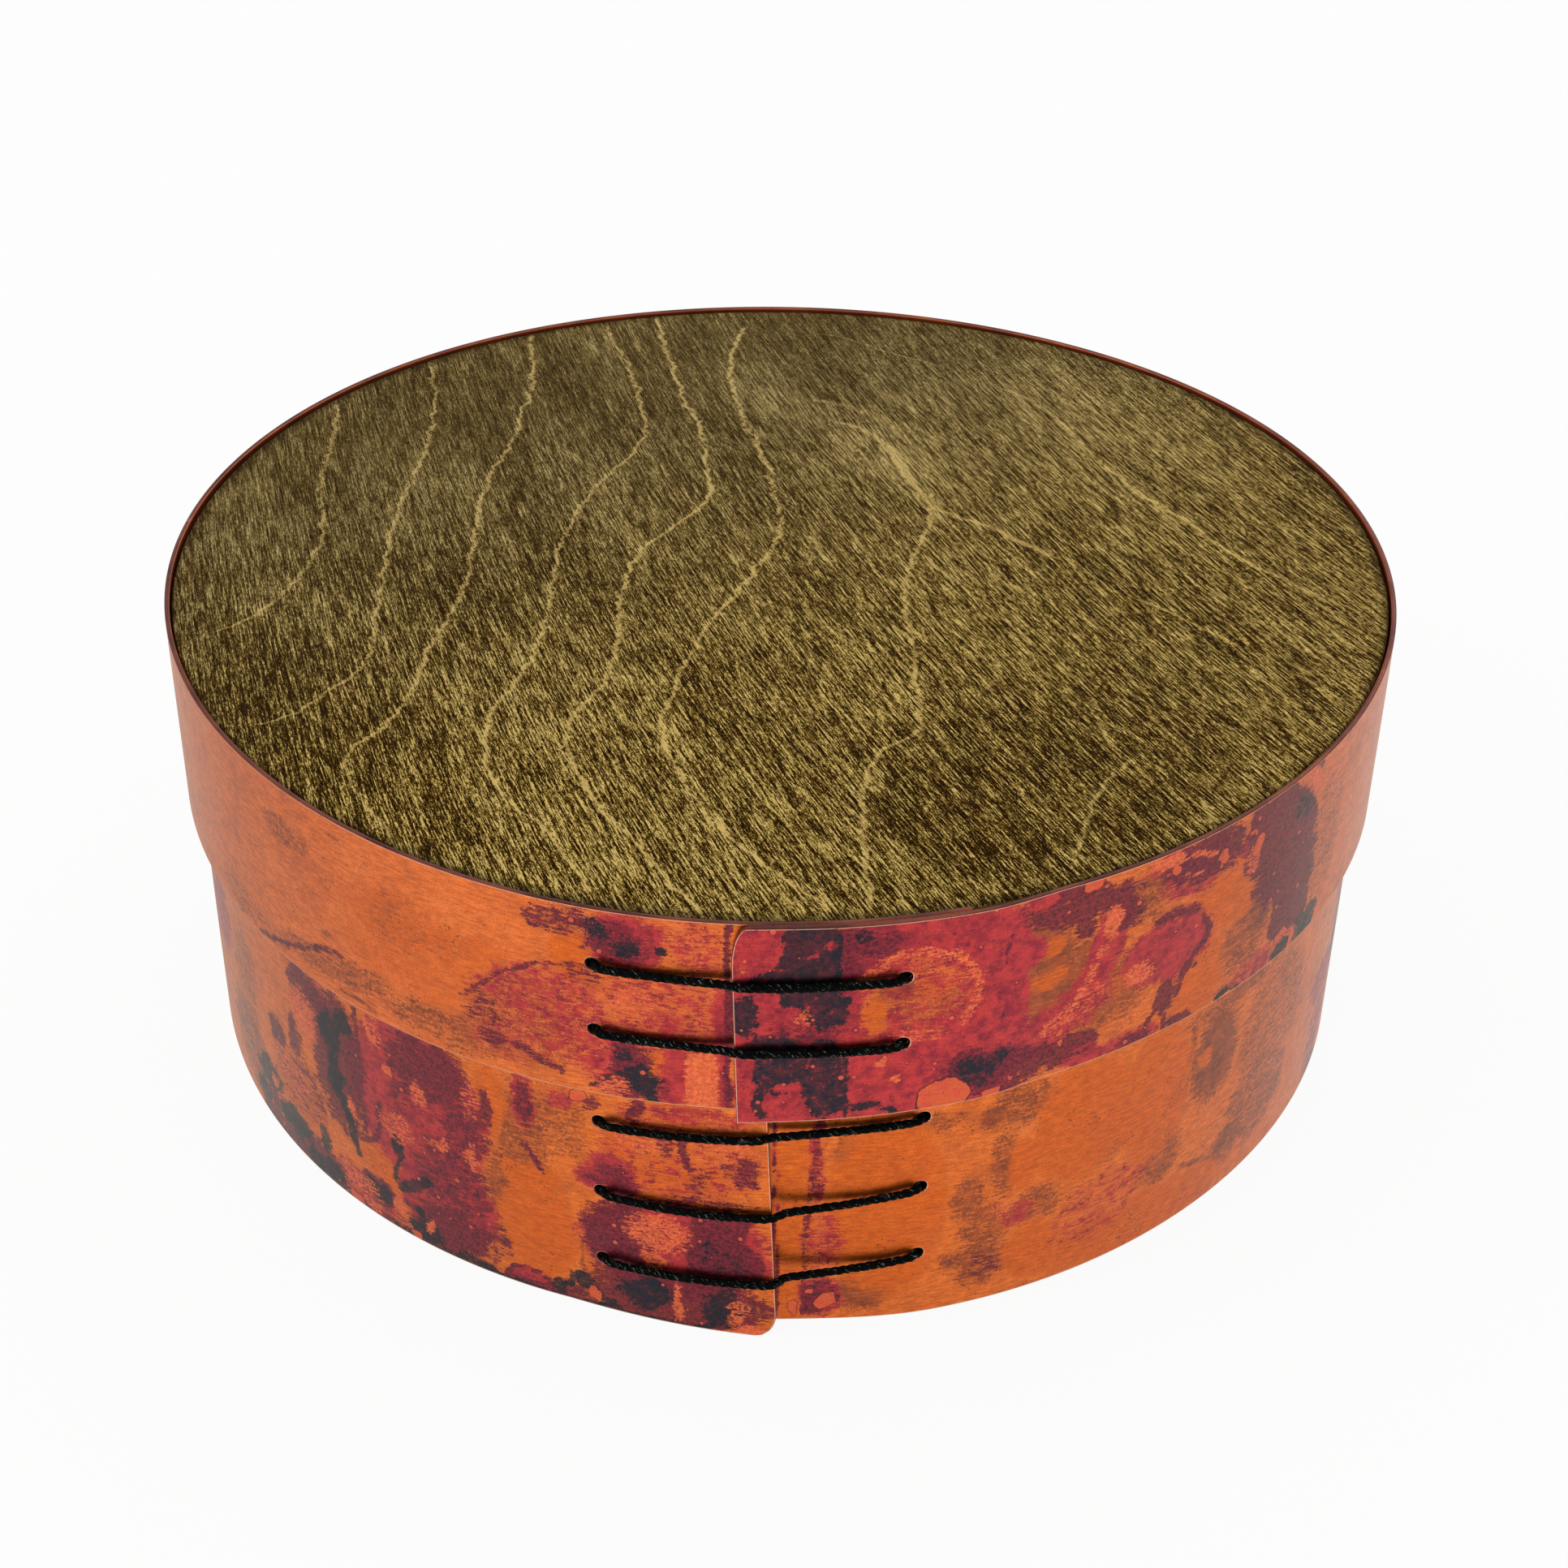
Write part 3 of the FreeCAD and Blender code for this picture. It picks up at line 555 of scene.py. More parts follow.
# %% Pools on the base
BASE_POOLS = {
    "brown": [
        (-90, 10, 7, 7, 0, 0.62), (-88, 22, 5, 9, 0, 0.44), (78, 24, 9, 12, 0, 0.44),
        (-32.5, 27, 4.6, 9, 0, 0.62), (-26.5, 30, 4, 6, 0, 0.52), (-36, 17, 2, 6, 0, 0.62),
        (10, 28, 2.0, 3.2, 0, 0.9),
        (13, 27, 2.2, 2.2, 0, 0.8), (11.6, 4.5, 4.2, 3.2, 0, 0.82), (28.5, 31, 2.0, 2.4, 0, 0.8),
        (28, 12.5, 3.6, 5.0, 0, 0.60), (25.5, 18, 2.8, 4.0, 0, 0.60), (28, 6.5, 4.4, 4.0, 0, 0.62),
        (24, 8, 2.4, 1.4, 0, 0.7), (31.5, 32, 4.2, 4.0, 0, 0.6), (45.3, 22, 3.4, 5.0, 0, 0.66),
        (57.5, 23, 2.0, 2.6, 0, 0.9), (64, 26, 4.6, 8, 0, 0.90), (34.5, 14, 4.4, 3.6, 0, 0.58),
        (55, 12.5, 4, 4.4, 0, 0.56), (69.5, 7.5, 4.2, 3.2, 0, 0.72), (76, 11.5, 8, 8, 0, 0.55),
        (66, 34, 10, 1.6, 0, 0.6), (20, 32, 5, 2, 0, 0.5), (36, 31, 3, 3, 0, 0.5), (2.5, 34, 2, 1, 0, 0.7),
        (30.2, 23, 2.0, 6, 0, 0.62)],
    "gold": [
        (-30.6, 11, 5.4, 8.6, 0, 1.0), (-31, 19, 4.4, 3, 0, 0.9), (-36.5, 30.5, 2.0, 6.4, 0, 0.85),
        (-73, 11, 8, 4.6, 0, 0.60), (-53.6, 10.6, 6.0, 4.0, 0, 1.0), (-19, 28, 2.2, 2.2, 0, 1.0),
        (2.4, 18, 2.4, 20, 0, 1.0), (4.6, 28, 1.6, 2.8, 0, 1.0), (14.6, 19, 7.6, 15, 0, 0.96),
        (41.5, 26, 7.4, 10, 0, 0.95), (53, 25, 6.2, 11, 0, 1.0), (34.8, 6.5, 4.2, 4.4, 0, 0.95),
        (52, 4, 17, 4.0, 0, 0.92), (32.8, 22, 2.4, 4, 0, 0.85), (62, 26.5, 1.6, 1.6, 0, 0.8),
        (-12, 24, 8, 4, 0, 0.6)],
    "rose": [
        (-56.5, 21, 2.6, 8, 0, 1.0), (-49, 24, 11.4, 13.6, 0, 1.0), (-44.5, 10, 8, 8.6, 0, 1.0),
        (-20.5, 22.8, 4.2, 3.6, 0, 0.98), (-12, 12.5, 12.6, 7.6, 0, 1.0), (-32.2, 0.8, 3.6, 2.6, 0, 1.0),
        (6.7, 13.5, 2.8, 5.6, 0, 0.54), (6.4, 4.3, 2.8, 3.8, 0, 0.78), (45, 10, 9, 6, 20, 0.38),
        (-11, 28, 12, 8, 0, 0.36), (-10, 34.6, 10, 1.6, 0, 0.55), (-32, 32, 1.8, 5, 0, 0.7),
        (-68, 31, 5, 5, 0, 0.62), (-60, 3.4, 9, 3.4, 0, 0.60), (5.7, 27, 1.0, 9.6, 0, 0.58),
        (32.5, 13.6, 2.6, 2.6, 0, 0.5), (-27, 34, 2, 2, 0, 0.6)],
    "plum": [
        (-62.8, 23.5, 5.2, 11.6, 0, 1.0), (-69, 32, 4.0, 3.4, 0, 0.9), (-73, 13.5, 8, 6, 0, 0.47),
        (-78, 19, 2.6, 2.6, 0, 0.8), (-73, 21.5, 1.8, 3.8, 0, 0.8), (-76, 3, 13, 3.0, 0, 0.98),
        (-46, 31, 7.2, 6, 0, 0.74), (-43.4, 14, 6.4, 7.4, 0, 0.56), (-40.5, 24, 3.6, 6, 0, 0.62),
        (-44, 4.4, 7, 4.6, 0, 0.84), (-51, 27, 2.4, 6, 0, 0.56), (-37.4, 29, 0.9, 3.6, 0, 0.8),
        (-19.2, 12.6, 5.0, 6.2, 0, 1.0), (-5.6, 13, 4.8, 5.8, 0, 1.0, 4), (-12, 4, 12.4, 4.8, 0, 1.0),
        (-2, 15.8, 1.5, 2.0, 0, -1.0), (-20, 22.4, 3.4, 2.6, 0, 0.66), (-17, 34, 0.9, 2.4, 0, 0.95),
        (-13.4, 29.4, 1.8, 2.2, 0, 0.6), (-9, 24, 1.9, 2.8, 0, 0.52), (-5.4, 27, 1.2, 1.8, 0, 0.66),
        (-3, 26, 2.0, 2.6, 0, 0.70), (-22.6, 34, 1.6, 1.2, 0, 0.7), (-32, 31.6, 1.3, 4.2, 0, 0.66),
        (-56.4, 4.9, 3.6, 2.4, 0, 0.98), (-36.2, 6.6, 2.2, 3.0, 0, 0.55), (6.4, 4.3, 2.5, 3.4, 0, 0.66),
        (5.7, 27, 0.7, 9, 0, 0.54), (-9.6, 20.6, 9, 1.2, 0, 0.5),
        (-25.8, 1.6, 2.4, 1.6, 0, 0.7), (28, 6, 3, 2.4, 0, 0.42)],
    "ink": [
        (-61, 31, 1.7, 2.6, 0, 1.0), (-64, 28, 2.4, 3.6, 0, 0.95), (-63.4, 21, 1.6, 6, 4, 0.72),
        (-52.3, 14.6, 1.1, 2.3, 0, 1.0), (-56.6, 4.8, 2.8, 1.7, 0, 0.72), (-75, 5, 4, 2.4, 0, 0.95),
        (-82.6, 8.4, 4.2, 2.8, 0, 0.92), (-67.5, 7, 1.3, 2.5, 0, 0.9), (-68, 2, 5, 1.8, 0, 0.84),
        (-24.5, 4.2, 1.9, 1.1, 0, 1.0), (-28, 1.6, 1.2, 1.2, 0, 0.9), (-16, 4.4, 3.8, 2.8, 0, 0.78),
        (-5.8, 4, 3.0, 3.8, 0, 0.84), (-48, 2.4, 3.2, 2.2, 0, 0.84), (-86, 4, 3, 2, 0, 0.7),
        (-41, 1.0, 4, 1.0, 0, 0.62), (-6, 12, 3.4, 4.4, 0, 0.42)],
    "bright": [
        (-48, 26, 1.2, 2.6, 0, 0.62), (-45, 19, 1.8, 1.0, 0, 0.60), (-40, 19, 1.1, 2.6, 0, 0.62),
        (-39.6, 29.5, 1.6, 4.2, 0, 0.44), (-52, 18.6, 3.0, 3.4, 0, 0.50), (-53, 27.5, 0.8, 1.0, 0, 0.9),
        (-55, 33, 1.6, 2.6, 0, 0.60), (-60.7, 17, 0.8, 2.1, 0, 0.8), (-14, 15.0, 4.8, 3.1, 0, 0.68),
        (-14.6, 10.4, 2.0, 1.5, 0, 0.7), (-11.5, 4, 0.6, 3.2, 0, 1.0), (-4, 3.2, 1.5, 3.0, -10, 0.60),
        (-1.8, 0.2, 2.2, 1.2, 0, 1.0), (-47.5, 3.4, 1.0, 1.4, 0, 0.95), (-53, 4.4, 1.2, 1.8, 0, 0.95),
        (-60.5, 4, 4.6, 2.0, 0, 0.56), (-70, 27.5, 3.2, 4.6, 0, 0.66), (-75, 14, 6, 4, 0, 0.46),
        (-17, 30.5, 5, 3.4, 0, 0.46), (-6, 31, 4, 4, 0, 0.42), (30, 15.5, 3, 2, 0, 0.42),
        (-81, 8, 0.9, 1.2, 0, 1.0), (-58.4, 1.2, 2.4, 0.9, 0, 0.6)],
    "drop": [
        (7.2, 3.2, 1.25, 1.25, 0, 1.0), (6.0, 13.3, 0.42, 0.42, 0, 1.0), (6.8, 10.5, 0.75, 1.0, 0, 1.0),
        (5.2, 4.6, 0.42, 0.42, 0, 1.0), (3.0, 2.2, 0.8, 1.5, 0, 0.9), (-24.5, 35, 1.2, 1.0, 0, 1.0),
        (-23, 2.4, 0.9, 1.3, 0, 1.0), (-61.5, 0.7, 1.4, 1.0, 0, 1.0), (-50.2, 0.8, 1.1, 0.9, 0, 1.0),
        (8.3, 6.4, 0.4, 0.4, 0, 1.0)],
}
print("pools on the base:", sum(len(pools) for pools in BASE_POOLS.values()))

# %% Strokes on the base
BASE_STROKES = {
    "brown": [
        (0.45, 0.75, (59, 33), (58.8, 28), (57, 25), (55, 20), (54.5, 14)),
        (0.50, 0.80, (60, 8.8), (64, 7.6), (67, 5.6), (70, 4)),
        (0.50, 0.70, (35.2, 35), (35.0, 30)),
        (0.35, 0.70, (-29, 19.5), (-26.5, 15), (-24.6, 11), (-24.2, 6))],
    "rose": [
        # dark red line beside the base's lap: dirt, with painted shade of the outer end
        (0.30, 0.70, (0.7, 1), (0.5, 36))],
    "plum": [
        (0.50, 1.00, (-60, 13), (-58.5, 12.7), (-56.2, 14.3), (-55.2, 17), (-55, 21)),
        (0.34, 1.00, (-35.8, 0.6), (-34.6, 2.7), (-32.2, 3.5), (-29.8, 2.5), (-28.6, 0.5)),
        (0.50, 0.90, (-11, 31), (-10.3, 26)),
        (0.45, 0.90, (-32, 25), (-29.4, 21)),
        # dark line beside the base's lap: dirt, with painted shade of the outer end
        (0.20, 0.90, (1.1, 1), (0.2, 36)),
        (0.40, 0.90, (-58.2, 35), (-58.2, 24), (-58.4, 14)),
        (0.50, 0.90, (-86, 1.2), (-60, 0.9), (-38, 0.7), (-12, 0.6)),
        (0.40, 0.62, (4.4, 1), (4.3, 12), (4.6, 20), (5.8, 26))],
    "ink": [
        (0.75, 1.00, (-62.4, 18), (-61, 12.6), (-60, 9.4)),
        (0.80, 0.95, (-51.9, 8.2), (-49.6, 9.8), (-47.3, 11.4)),
        (0.65, 0.95, (-49.4, 5.6), (-49.1, 1.0)),
        (0.50, 0.95, (-26.2, 2.8), (-25.8, 4.4), (-24, 4.7), (-22.8, 3.0), (-22, 1.8), (-19, 0.4)),
        (0.30, 0.90, (-86, 0.2), (-60, 0.1), (-38, 0.1), (-8, 0.1)),
        (0.50, 0.80, (-52.6, 12), (-53.4, 9.4), (-52.4, 8.4))],
    "bright": [
        (0.35, 0.90, (-56.6, 35), (-55.6, 31.4)),
        (0.35, 0.80, (-16.2, 11.6), (-15.6, 8.6))],
}
STAINS = list(LID_POOLS)
print("strokes on the base:", sum(len(strokes) for strokes in BASE_STROKES.values()))

# %% Paint pools and strokes into a strip
WIDEST_FEATHER = 2.2              # mm over which the edge of a large pool fades to each side
STROKE_FEATHER = 0.8              # the same for a wide stroke
WANDER = ((0.33, 0.9), (1.15, 0.4))    # how paint has run: noise for each mm, and how many mm it moves
MOST_WANDER = 1.5
STROKE_REACH = 4.0                # nothing farther than this from a stroke's ends is tried
BACK_FROM = 98.0                  # runs beyond this are round the back, where pools are laid at random
BACK_CROWDS = 14
# Each stain on the back: how many pools, and their usual half width
BACK_POOLS = (("brown", 34, 4.6), ("gold", 26, 5.0), ("rose", 44, 4.4), ("plum", 48, 3.0), ("ink", 44, 1.7),
              ("bright", 44, 1.6), ("drop", 26, 0.7))


def back_pools(seed, top):
    """Pools for the back of a band, crowded together in places as they are on its front."""
    pick = random.Random(seed)
    crowds = [pick.uniform(BACK_FROM, ROUND - BACK_FROM) for _ in range(BACK_CROWDS)]
    pools = {}
    for name, count, size in BACK_POOLS:
        pools[name] = []
        for _ in range(count):
            run = min(ROUND - BACK_FROM, max(BACK_FROM, pick.choice(crowds) + pick.gauss(0.0, 6.0)))
            wide = size * pick.uniform(0.4, 1.6)
            height = pick.uniform(0.0, top)
            high = wide * pick.uniform(0.4, 2.4)
            tilt = pick.uniform(-20.0, 20.0)
            pools[name].append((run, height, wide, high, tilt, pick.uniform(0.45, 1.0)))
    return pools


def ragged_place(vert):
    """Where a vertex lies in the paint, which has run a little this way and that."""
    spot = vert.co.copy()
    return sum((noise_vector(spot * scale) * moved for scale, moved in WANDER), spot)


def lay(vert, layer, beyond, feather, share):
    """Adds paint to a vertex that lies so far beyond an edge, or wipes it off."""
    cover = abs(share) * (1.0 - ease(beyond, -feather, 2.0 * feather))
    there = vert[layer]
    vert[layer] = max(there, cover) if share > 0.0 else there * (1.0 - cover)


def lay_pool(near, layer, centre, pool):
    """Lays one pool on the vertices near it."""
    _, height, wide, high, tilt, share, *square = pool
    power = square[0] if square else 2.0
    turn = math.radians(tilt)
    feather = min(WIDEST_FEATHER, 0.5 * min(wide, high)) * (0.35 if square else 1.0)
    for vert, spot in near:
        x = (vert.co.x if power > 4.0 else spot.x) - centre
        y = spot.y - height
        across = abs(x * math.cos(turn) + y * math.sin(turn)) / wide
        along = abs(y * math.cos(turn) - x * math.sin(turn)) / high
        beyond = ((across ** power + along ** power) ** (1.0 / power) - 1.0) * min(wide, high)
        lay(vert, layer, beyond, feather, share)


def far_from_piece(spot, start, end):
    """Distance from a straight piece of a stroke."""
    along = end - start
    share = min(1.0, max(0.0, (spot - start).dot(along) / along.length_squared))
    return (spot - start - along * share).length


def lay_stroke(near, layer, shift, stroke):
    """Lays one stroke, by the distance from its nearest piece."""
    half_width, share, *points = stroke
    points = [Vector((run + shift, height)) for run, height in points]
    for vert, spot in near:
        here = spot.xy.lerp(vert.co.xy, 0.5)
        far = min(far_from_piece(here, start, end) for start, end in zip(points, points[1:]))
        lay(vert, layer, far - half_width, min(STROKE_FEATHER, 0.7 * half_width), share)


def paint_strip(bm, pools, strokes, seam):
    """Writes how much of each stain every vertex has. Runs left of the lap's edge end the strip."""
    layers = {name: bm.verts.layers.float.new(name) for name in STAINS}
    verts = sorted(((vert, ragged_place(vert)) for vert in bm.verts), key=lambda pair: pair[0].co.x)
    runs = [vert.co.x for vert, _ in verts]

    def between(low, high):
        return verts[bisect.bisect_left(runs, low):bisect.bisect_right(runs, high)]

    for name, layer in layers.items():
        for pool in [pool for table in pools for pool in table[name]]:
            centre = pool[0] if pool[0] > seam else pool[0] + ROUND
            reach = math.hypot(pool[2], pool[3]) + WIDEST_FEATHER + MOST_WANDER
            lay_pool(between(centre - reach, centre + reach), layer, centre, pool)
        for stroke in strokes.get(name, []):
            shift = 0.0 if stroke[2][0] > seam else ROUND
            ends = [run + shift for run, _ in stroke[2:]]
            near = between(min(ends) - STROKE_REACH, max(ends) + STROKE_REACH)
            lay_stroke(near, layer, shift, stroke)


def mark_edges(bm, holes):
    """Keeps where the cut edges and hole rims are, for their polish from handling and a painted highlight.
    """
    layer = bm.verts.layers.float.new("edge")
    for vert in bm.verts:
        if vert.is_boundary:
            vert[layer] = 1.0
        for hole in holes:
            if (vert.co.xy - Vector(hole)).length < 1.1 * HOLE_RADIUS:
                vert[layer] = 0.8


print("painter ready")

# %% [markdown]
# ## Bending and walling the strip
# The flat strip is bent by moving each point to its place beside the outline. Solidify then gives it the
# real thickness, and a narrow bevel breaks the cut edges, so that they catch the light as a thin line.
# Solidify also gives the inside and the cut edge their own materials.

# %% Bend
ARRIS = 0.07                      # width of the broken edge


def bend_strip(bm, name, outset, materials):
    """Bends the flat strip round, gives it a wall and its materials."""
    bmesh.ops.recalc_face_normals(bm, faces=bm.faces)
    sheet_map = bm.loops.layers.uv.new("sheet")
    if sum(face.normal.z for face in bm.faces) < 0.0:
        bmesh.ops.reverse_faces(bm, faces=bm.faces)
    for face in bm.faces:
        face.smooth = True
        for loop in face.loops:
            loop[sheet_map].uv = loop.vert.co.xy
    for vert in bm.verts:
        run, height, relief = vert.co
        vert.co = place(run, outset(run, height) + relief, height)
    mesh = bpy.data.meshes.new(name)
    bm.to_mesh(mesh)
    bm.free()
    band = bpy.data.objects.new(name, mesh)
    bpy.context.scene.collection.objects.link(band)
    for material in materials:
        mesh.materials.append(material)
    wall = band.modifiers.new("wall", "SOLIDIFY")
    wall.thickness = SHEET * MM
    wall.offset = -1.0
    wall.use_even_offset = True
    wall.material_offset = 1
    wall.material_offset_rim = 2
    arris = band.modifiers.new("arris", "BEVEL")
    arris.width = ARRIS * MM
    arris.segments = 1
    arris.limit_method = "ANGLE"
    arris.angle_limit = math.radians(50.0)
    return band


print("bender ready")

# %% [markdown]
# ## Copper finish
# The bare metal is orange copper with fine brushing along the strip. Each stain covers it where its painted
# amount and a noise together pass a half. For most stains, half of that noise is drawn out along the
# strip, as a dry brush leaves it. The same sum gives the thin dark line that a dried pool leaves round its
# edge. A thin wax coat lies over all of it, so the steep sides of the drum turn pale.

# %% Node group for the edge of a stain


def make_stain_edge():
    """Turns a painted amount and a noise into the cover of a stain, its dried line and its glaze."""
    tree, given, result = new_group(
        "Stain edge",
        [("Amount", "Float"), ("Noise", "Float"), ("Ragged", "Float"), ("Softness", "Float")],
        ["Mask", "Line", "Glaze"])
    swing = times(tree, minus(tree, given["Noise"], 0.5), given["Ragged"])
    swing = times(tree, swing, ramp(tree, given["Amount"], 0.0, 0.35))
    level = plus(tree, given["Amount"], swing)
    low = minus(tree, 0.5, given["Softness"])
    high = plus(tree, 0.5, given["Softness"])
    from_edge = maths(tree, "ABSOLUTE", minus(tree, level, 0.5))
    set_inputs(tree, result, {"Mask": ramp(tree, level, low, high), "Line": ramp(tree, from_edge, 0.09, 0.0),
                              "Glaze": ramp(tree, given["Amount"], 0.1, 0.9)})
    return tree


stain_edge = make_stain_edge()
print("group:", stain_edge.name)

# %% Node group for the marks in the sheet


def make_sheet_marks():
    """Brushing, scratches and speckle, and the bubbles of a stain with their rings."""
    tree, given, result = new_group("Sheet marks", [("Sheet", "Vector")],
                                    ["Brush", "Scratch", "Speckle", "Bubble", "Ring"])
    at = given["Sheet"]
    brush = noise(tree, stretched(tree, at, (0.30, 5.0, 1.0)), 1.0, 5.0, 0.7)
    tilted = node(tree, "Mapping", {"Vector": at, "Rotation": (0.0, 0.0, 0.12), "Scale": (0.22, 11.0, 1.0)})
    scratch = ramp(tree, noise(tree, tilted.outputs[0], 1.0, 2.0, 0.5), 0.68, 0.76)
    specks = node(tree, "TexVoronoi", {"Vector": at, "Scale": 1.5}).outputs
    size = times(tree, ramp(tree, noise(tree, at, 0.16, 3.0), 0.48, 0.66), 0.30)
    speckle = ramp(tree, minus(tree, size, specks["Distance"]), 0.0, 0.08)
    cells = node(tree, "TexVoronoi", {"Vector": at, "Scale": 0.62}).outputs
    chance = node(tree, "SeparateColor", {0: cells["Color"]}).outputs[0]
    size = times(tree, ramp(tree, chance, 0.52, 1.0), 0.24)
    inside = minus(tree, size, cells["Distance"])
    from_rim = maths(tree, "ABSOLUTE", plus(tree, inside, 0.03))
    ring = times(tree, ramp(tree, from_rim, 0.05, 0.0), ramp(tree, size, 0.02, 0.06))
    set_inputs(tree, result, {"Brush": brush, "Scratch": scratch, "Speckle": speckle,
                              "Bubble": ramp(tree, inside, 0.0, 0.05), "Ring": ring})
    return tree


sheet_marks = make_sheet_marks()
print("group:", sheet_marks.name)

# %% Colours of the copper and its stains
LID_COLOURS = (paint(216, 103, 45), paint(242, 124, 56))
BASE_COLOURS = (paint(216, 103, 38), paint(242, 124, 48))
STAIN_COLOURS = {
    "brown": (paint(160, 76, 46), paint(98, 50, 40)),
    "gold": (paint(229, 109, 30), paint(206, 86, 28)),
    "rose": (paint(200, 56, 62), paint(142, 33, 56)),
    "plum": (paint(142, 42, 56), paint(72, 30, 44)),
    "ink": (paint(28, 34, 46), paint(16, 38, 46)),
    "bright": (paint(248, 124, 74), paint(222, 88, 56)),
    "drop": (paint(234, 104, 60), paint(216, 82, 60)),
}
# How ragged and how soft each stain is, how dense it is where it lies thin and thick, how dark its dried
# line is, and how much its weakest parts tint the copper
STAIN_EDGES = {
    "brown": (3.8, 0.16, 0.70, 0.80, 0.0, 0.30),
    "gold": (3.4, 0.20, 0.85, 0.95, 0.0, 0.30),
    "rose": (3.8, 0.12, 0.80, 0.96, 0.15, 0.60),
    "plum": (3.8, 0.07, 0.84, 0.98, 0.30, 0.25),
    "ink": (3.4, 0.06, 0.70, 0.99, 0.25, 0.30),
    "bright": (4.0, 0.08, 0.86, 0.94, 0.15, 0.0),
    "drop": (0.4, 0.07, 0.94, 0.96, 0.9, 0.0),
}
HAZE_COLOUR = paint(170, 76, 44)
GLOW_COLOUR = paint(252, 138, 70)
LINE_COLOUR = paint(58, 20, 34)
RING_COLOUR = paint(60, 24, 38)
BUBBLE_COLOUR = paint(232, 100, 74)
SPECKLE_COLOUR = paint(84, 40, 36)
SCRATCH_COLOUR = paint(240, 170, 130)
# polished copper and painted highlight of the cut edges and hole rims
EDGE_POLISH_HIGHLIGHT_COLOUR = paint(255, 196, 166)
print("colours for", len(STAIN_COLOURS), "stains")

# %% [markdown]
# Three fractal noises feed the stains: blots for the larger shapes, fine ones for their edges, and dry
# ones, which are drawn out along the strip. Each stain takes two of them, so that no two stains break up
# in the same places, and a third one shifts its colour.

# %% Noises for the stains


def copper_noises(tree, sheet):
    """Blots, fine blots and dry brushing, three of each, and grain."""
    blots = three_noises(tree, sheet, 0.62, 6.0)
    fine = three_noises(tree, sheet, 1.9, 5.0)
    dry = three_noises(tree, stretched(tree, sheet, (0.55, 2.6, 1.0)), 1.0, 5.0)
    grain = times(tree, minus(tree, noise(tree, sheet, 4.5, 3.0, 0.7), 0.5), 0.28)
    return blots, fine, dry, grain


def stain_noises(blots, fine, dry):
    """For each stain, the two noises that break up its edge and the one that shifts its colour."""
    return {"brown": (fine[0], dry[1], blots[1]), "gold": (blots[1], dry[2], dry[0]),
            "rose": (blots[2], dry[0], blots[1]), "plum": (blots[0], dry[1], fine[2]),
            "ink": (blots[1], fine[1], blots[2]), "bright": (fine[2], dry[2], fine[0]),
            "drop": (blots[2], blots[1], blots[0])}


print("noises for", len(STAINS), "stains")

# %% One stain over the copper


def laid_stain(tree, colour, stain, noises, grain):
    """The colour with one stain laid over it, and the stain's mask."""
    ragged, softness, thin, thick, dried, glaze = STAIN_EDGES[stain]
    first, second, third = noises
    amount = node(tree, "Attribute", attribute_name=stain).outputs["Fac"]
    both = plus(tree, times(tree, plus(tree, first, second), 0.5), grain)
    edge = use_group(tree, stain_edge, {"Amount": amount, "Noise": both, "Ragged": ragged,
                                        "Softness": softness})
    if glaze:
        colour = washed(tree, colour, edge["Glaze"], glaze, STAIN_COLOURS[stain][0])
    tint = mixed(tree, ramp(tree, third, 0.38, 0.64), *STAIN_COLOURS[stain])
    colour = washed(tree, colour, edge["Mask"], scaled(tree, both, 0.42, 0.60, thin, thick), tint)
    if dried:
        colour = washed(tree, colour, edge["Line"], dried, LINE_COLOUR)
    return colour, edge["Mask"]


def marked(tree, colour, marks, covered):
    """The colour with the sheet's speckle, and with rings and bubbles where a dark stain covers it."""
    colour = washed(tree, colour, marks["Speckle"], 0.55, SPECKLE_COLOUR)
    colour = washed(tree, colour, marks["Ring"], times(tree, covered, 0.5), RING_COLOUR)
    return washed(tree, colour, marks["Bubble"], times(tree, covered, 0.8), BUBBLE_COLOUR)


print("stain helpers ready")

# %% Outside of a band
COPPER_FINISH = {"Metallic": 0.95, "Coat Weight": 0.55, "Coat Roughness": 0.25, "Coat IOR": 1.24}


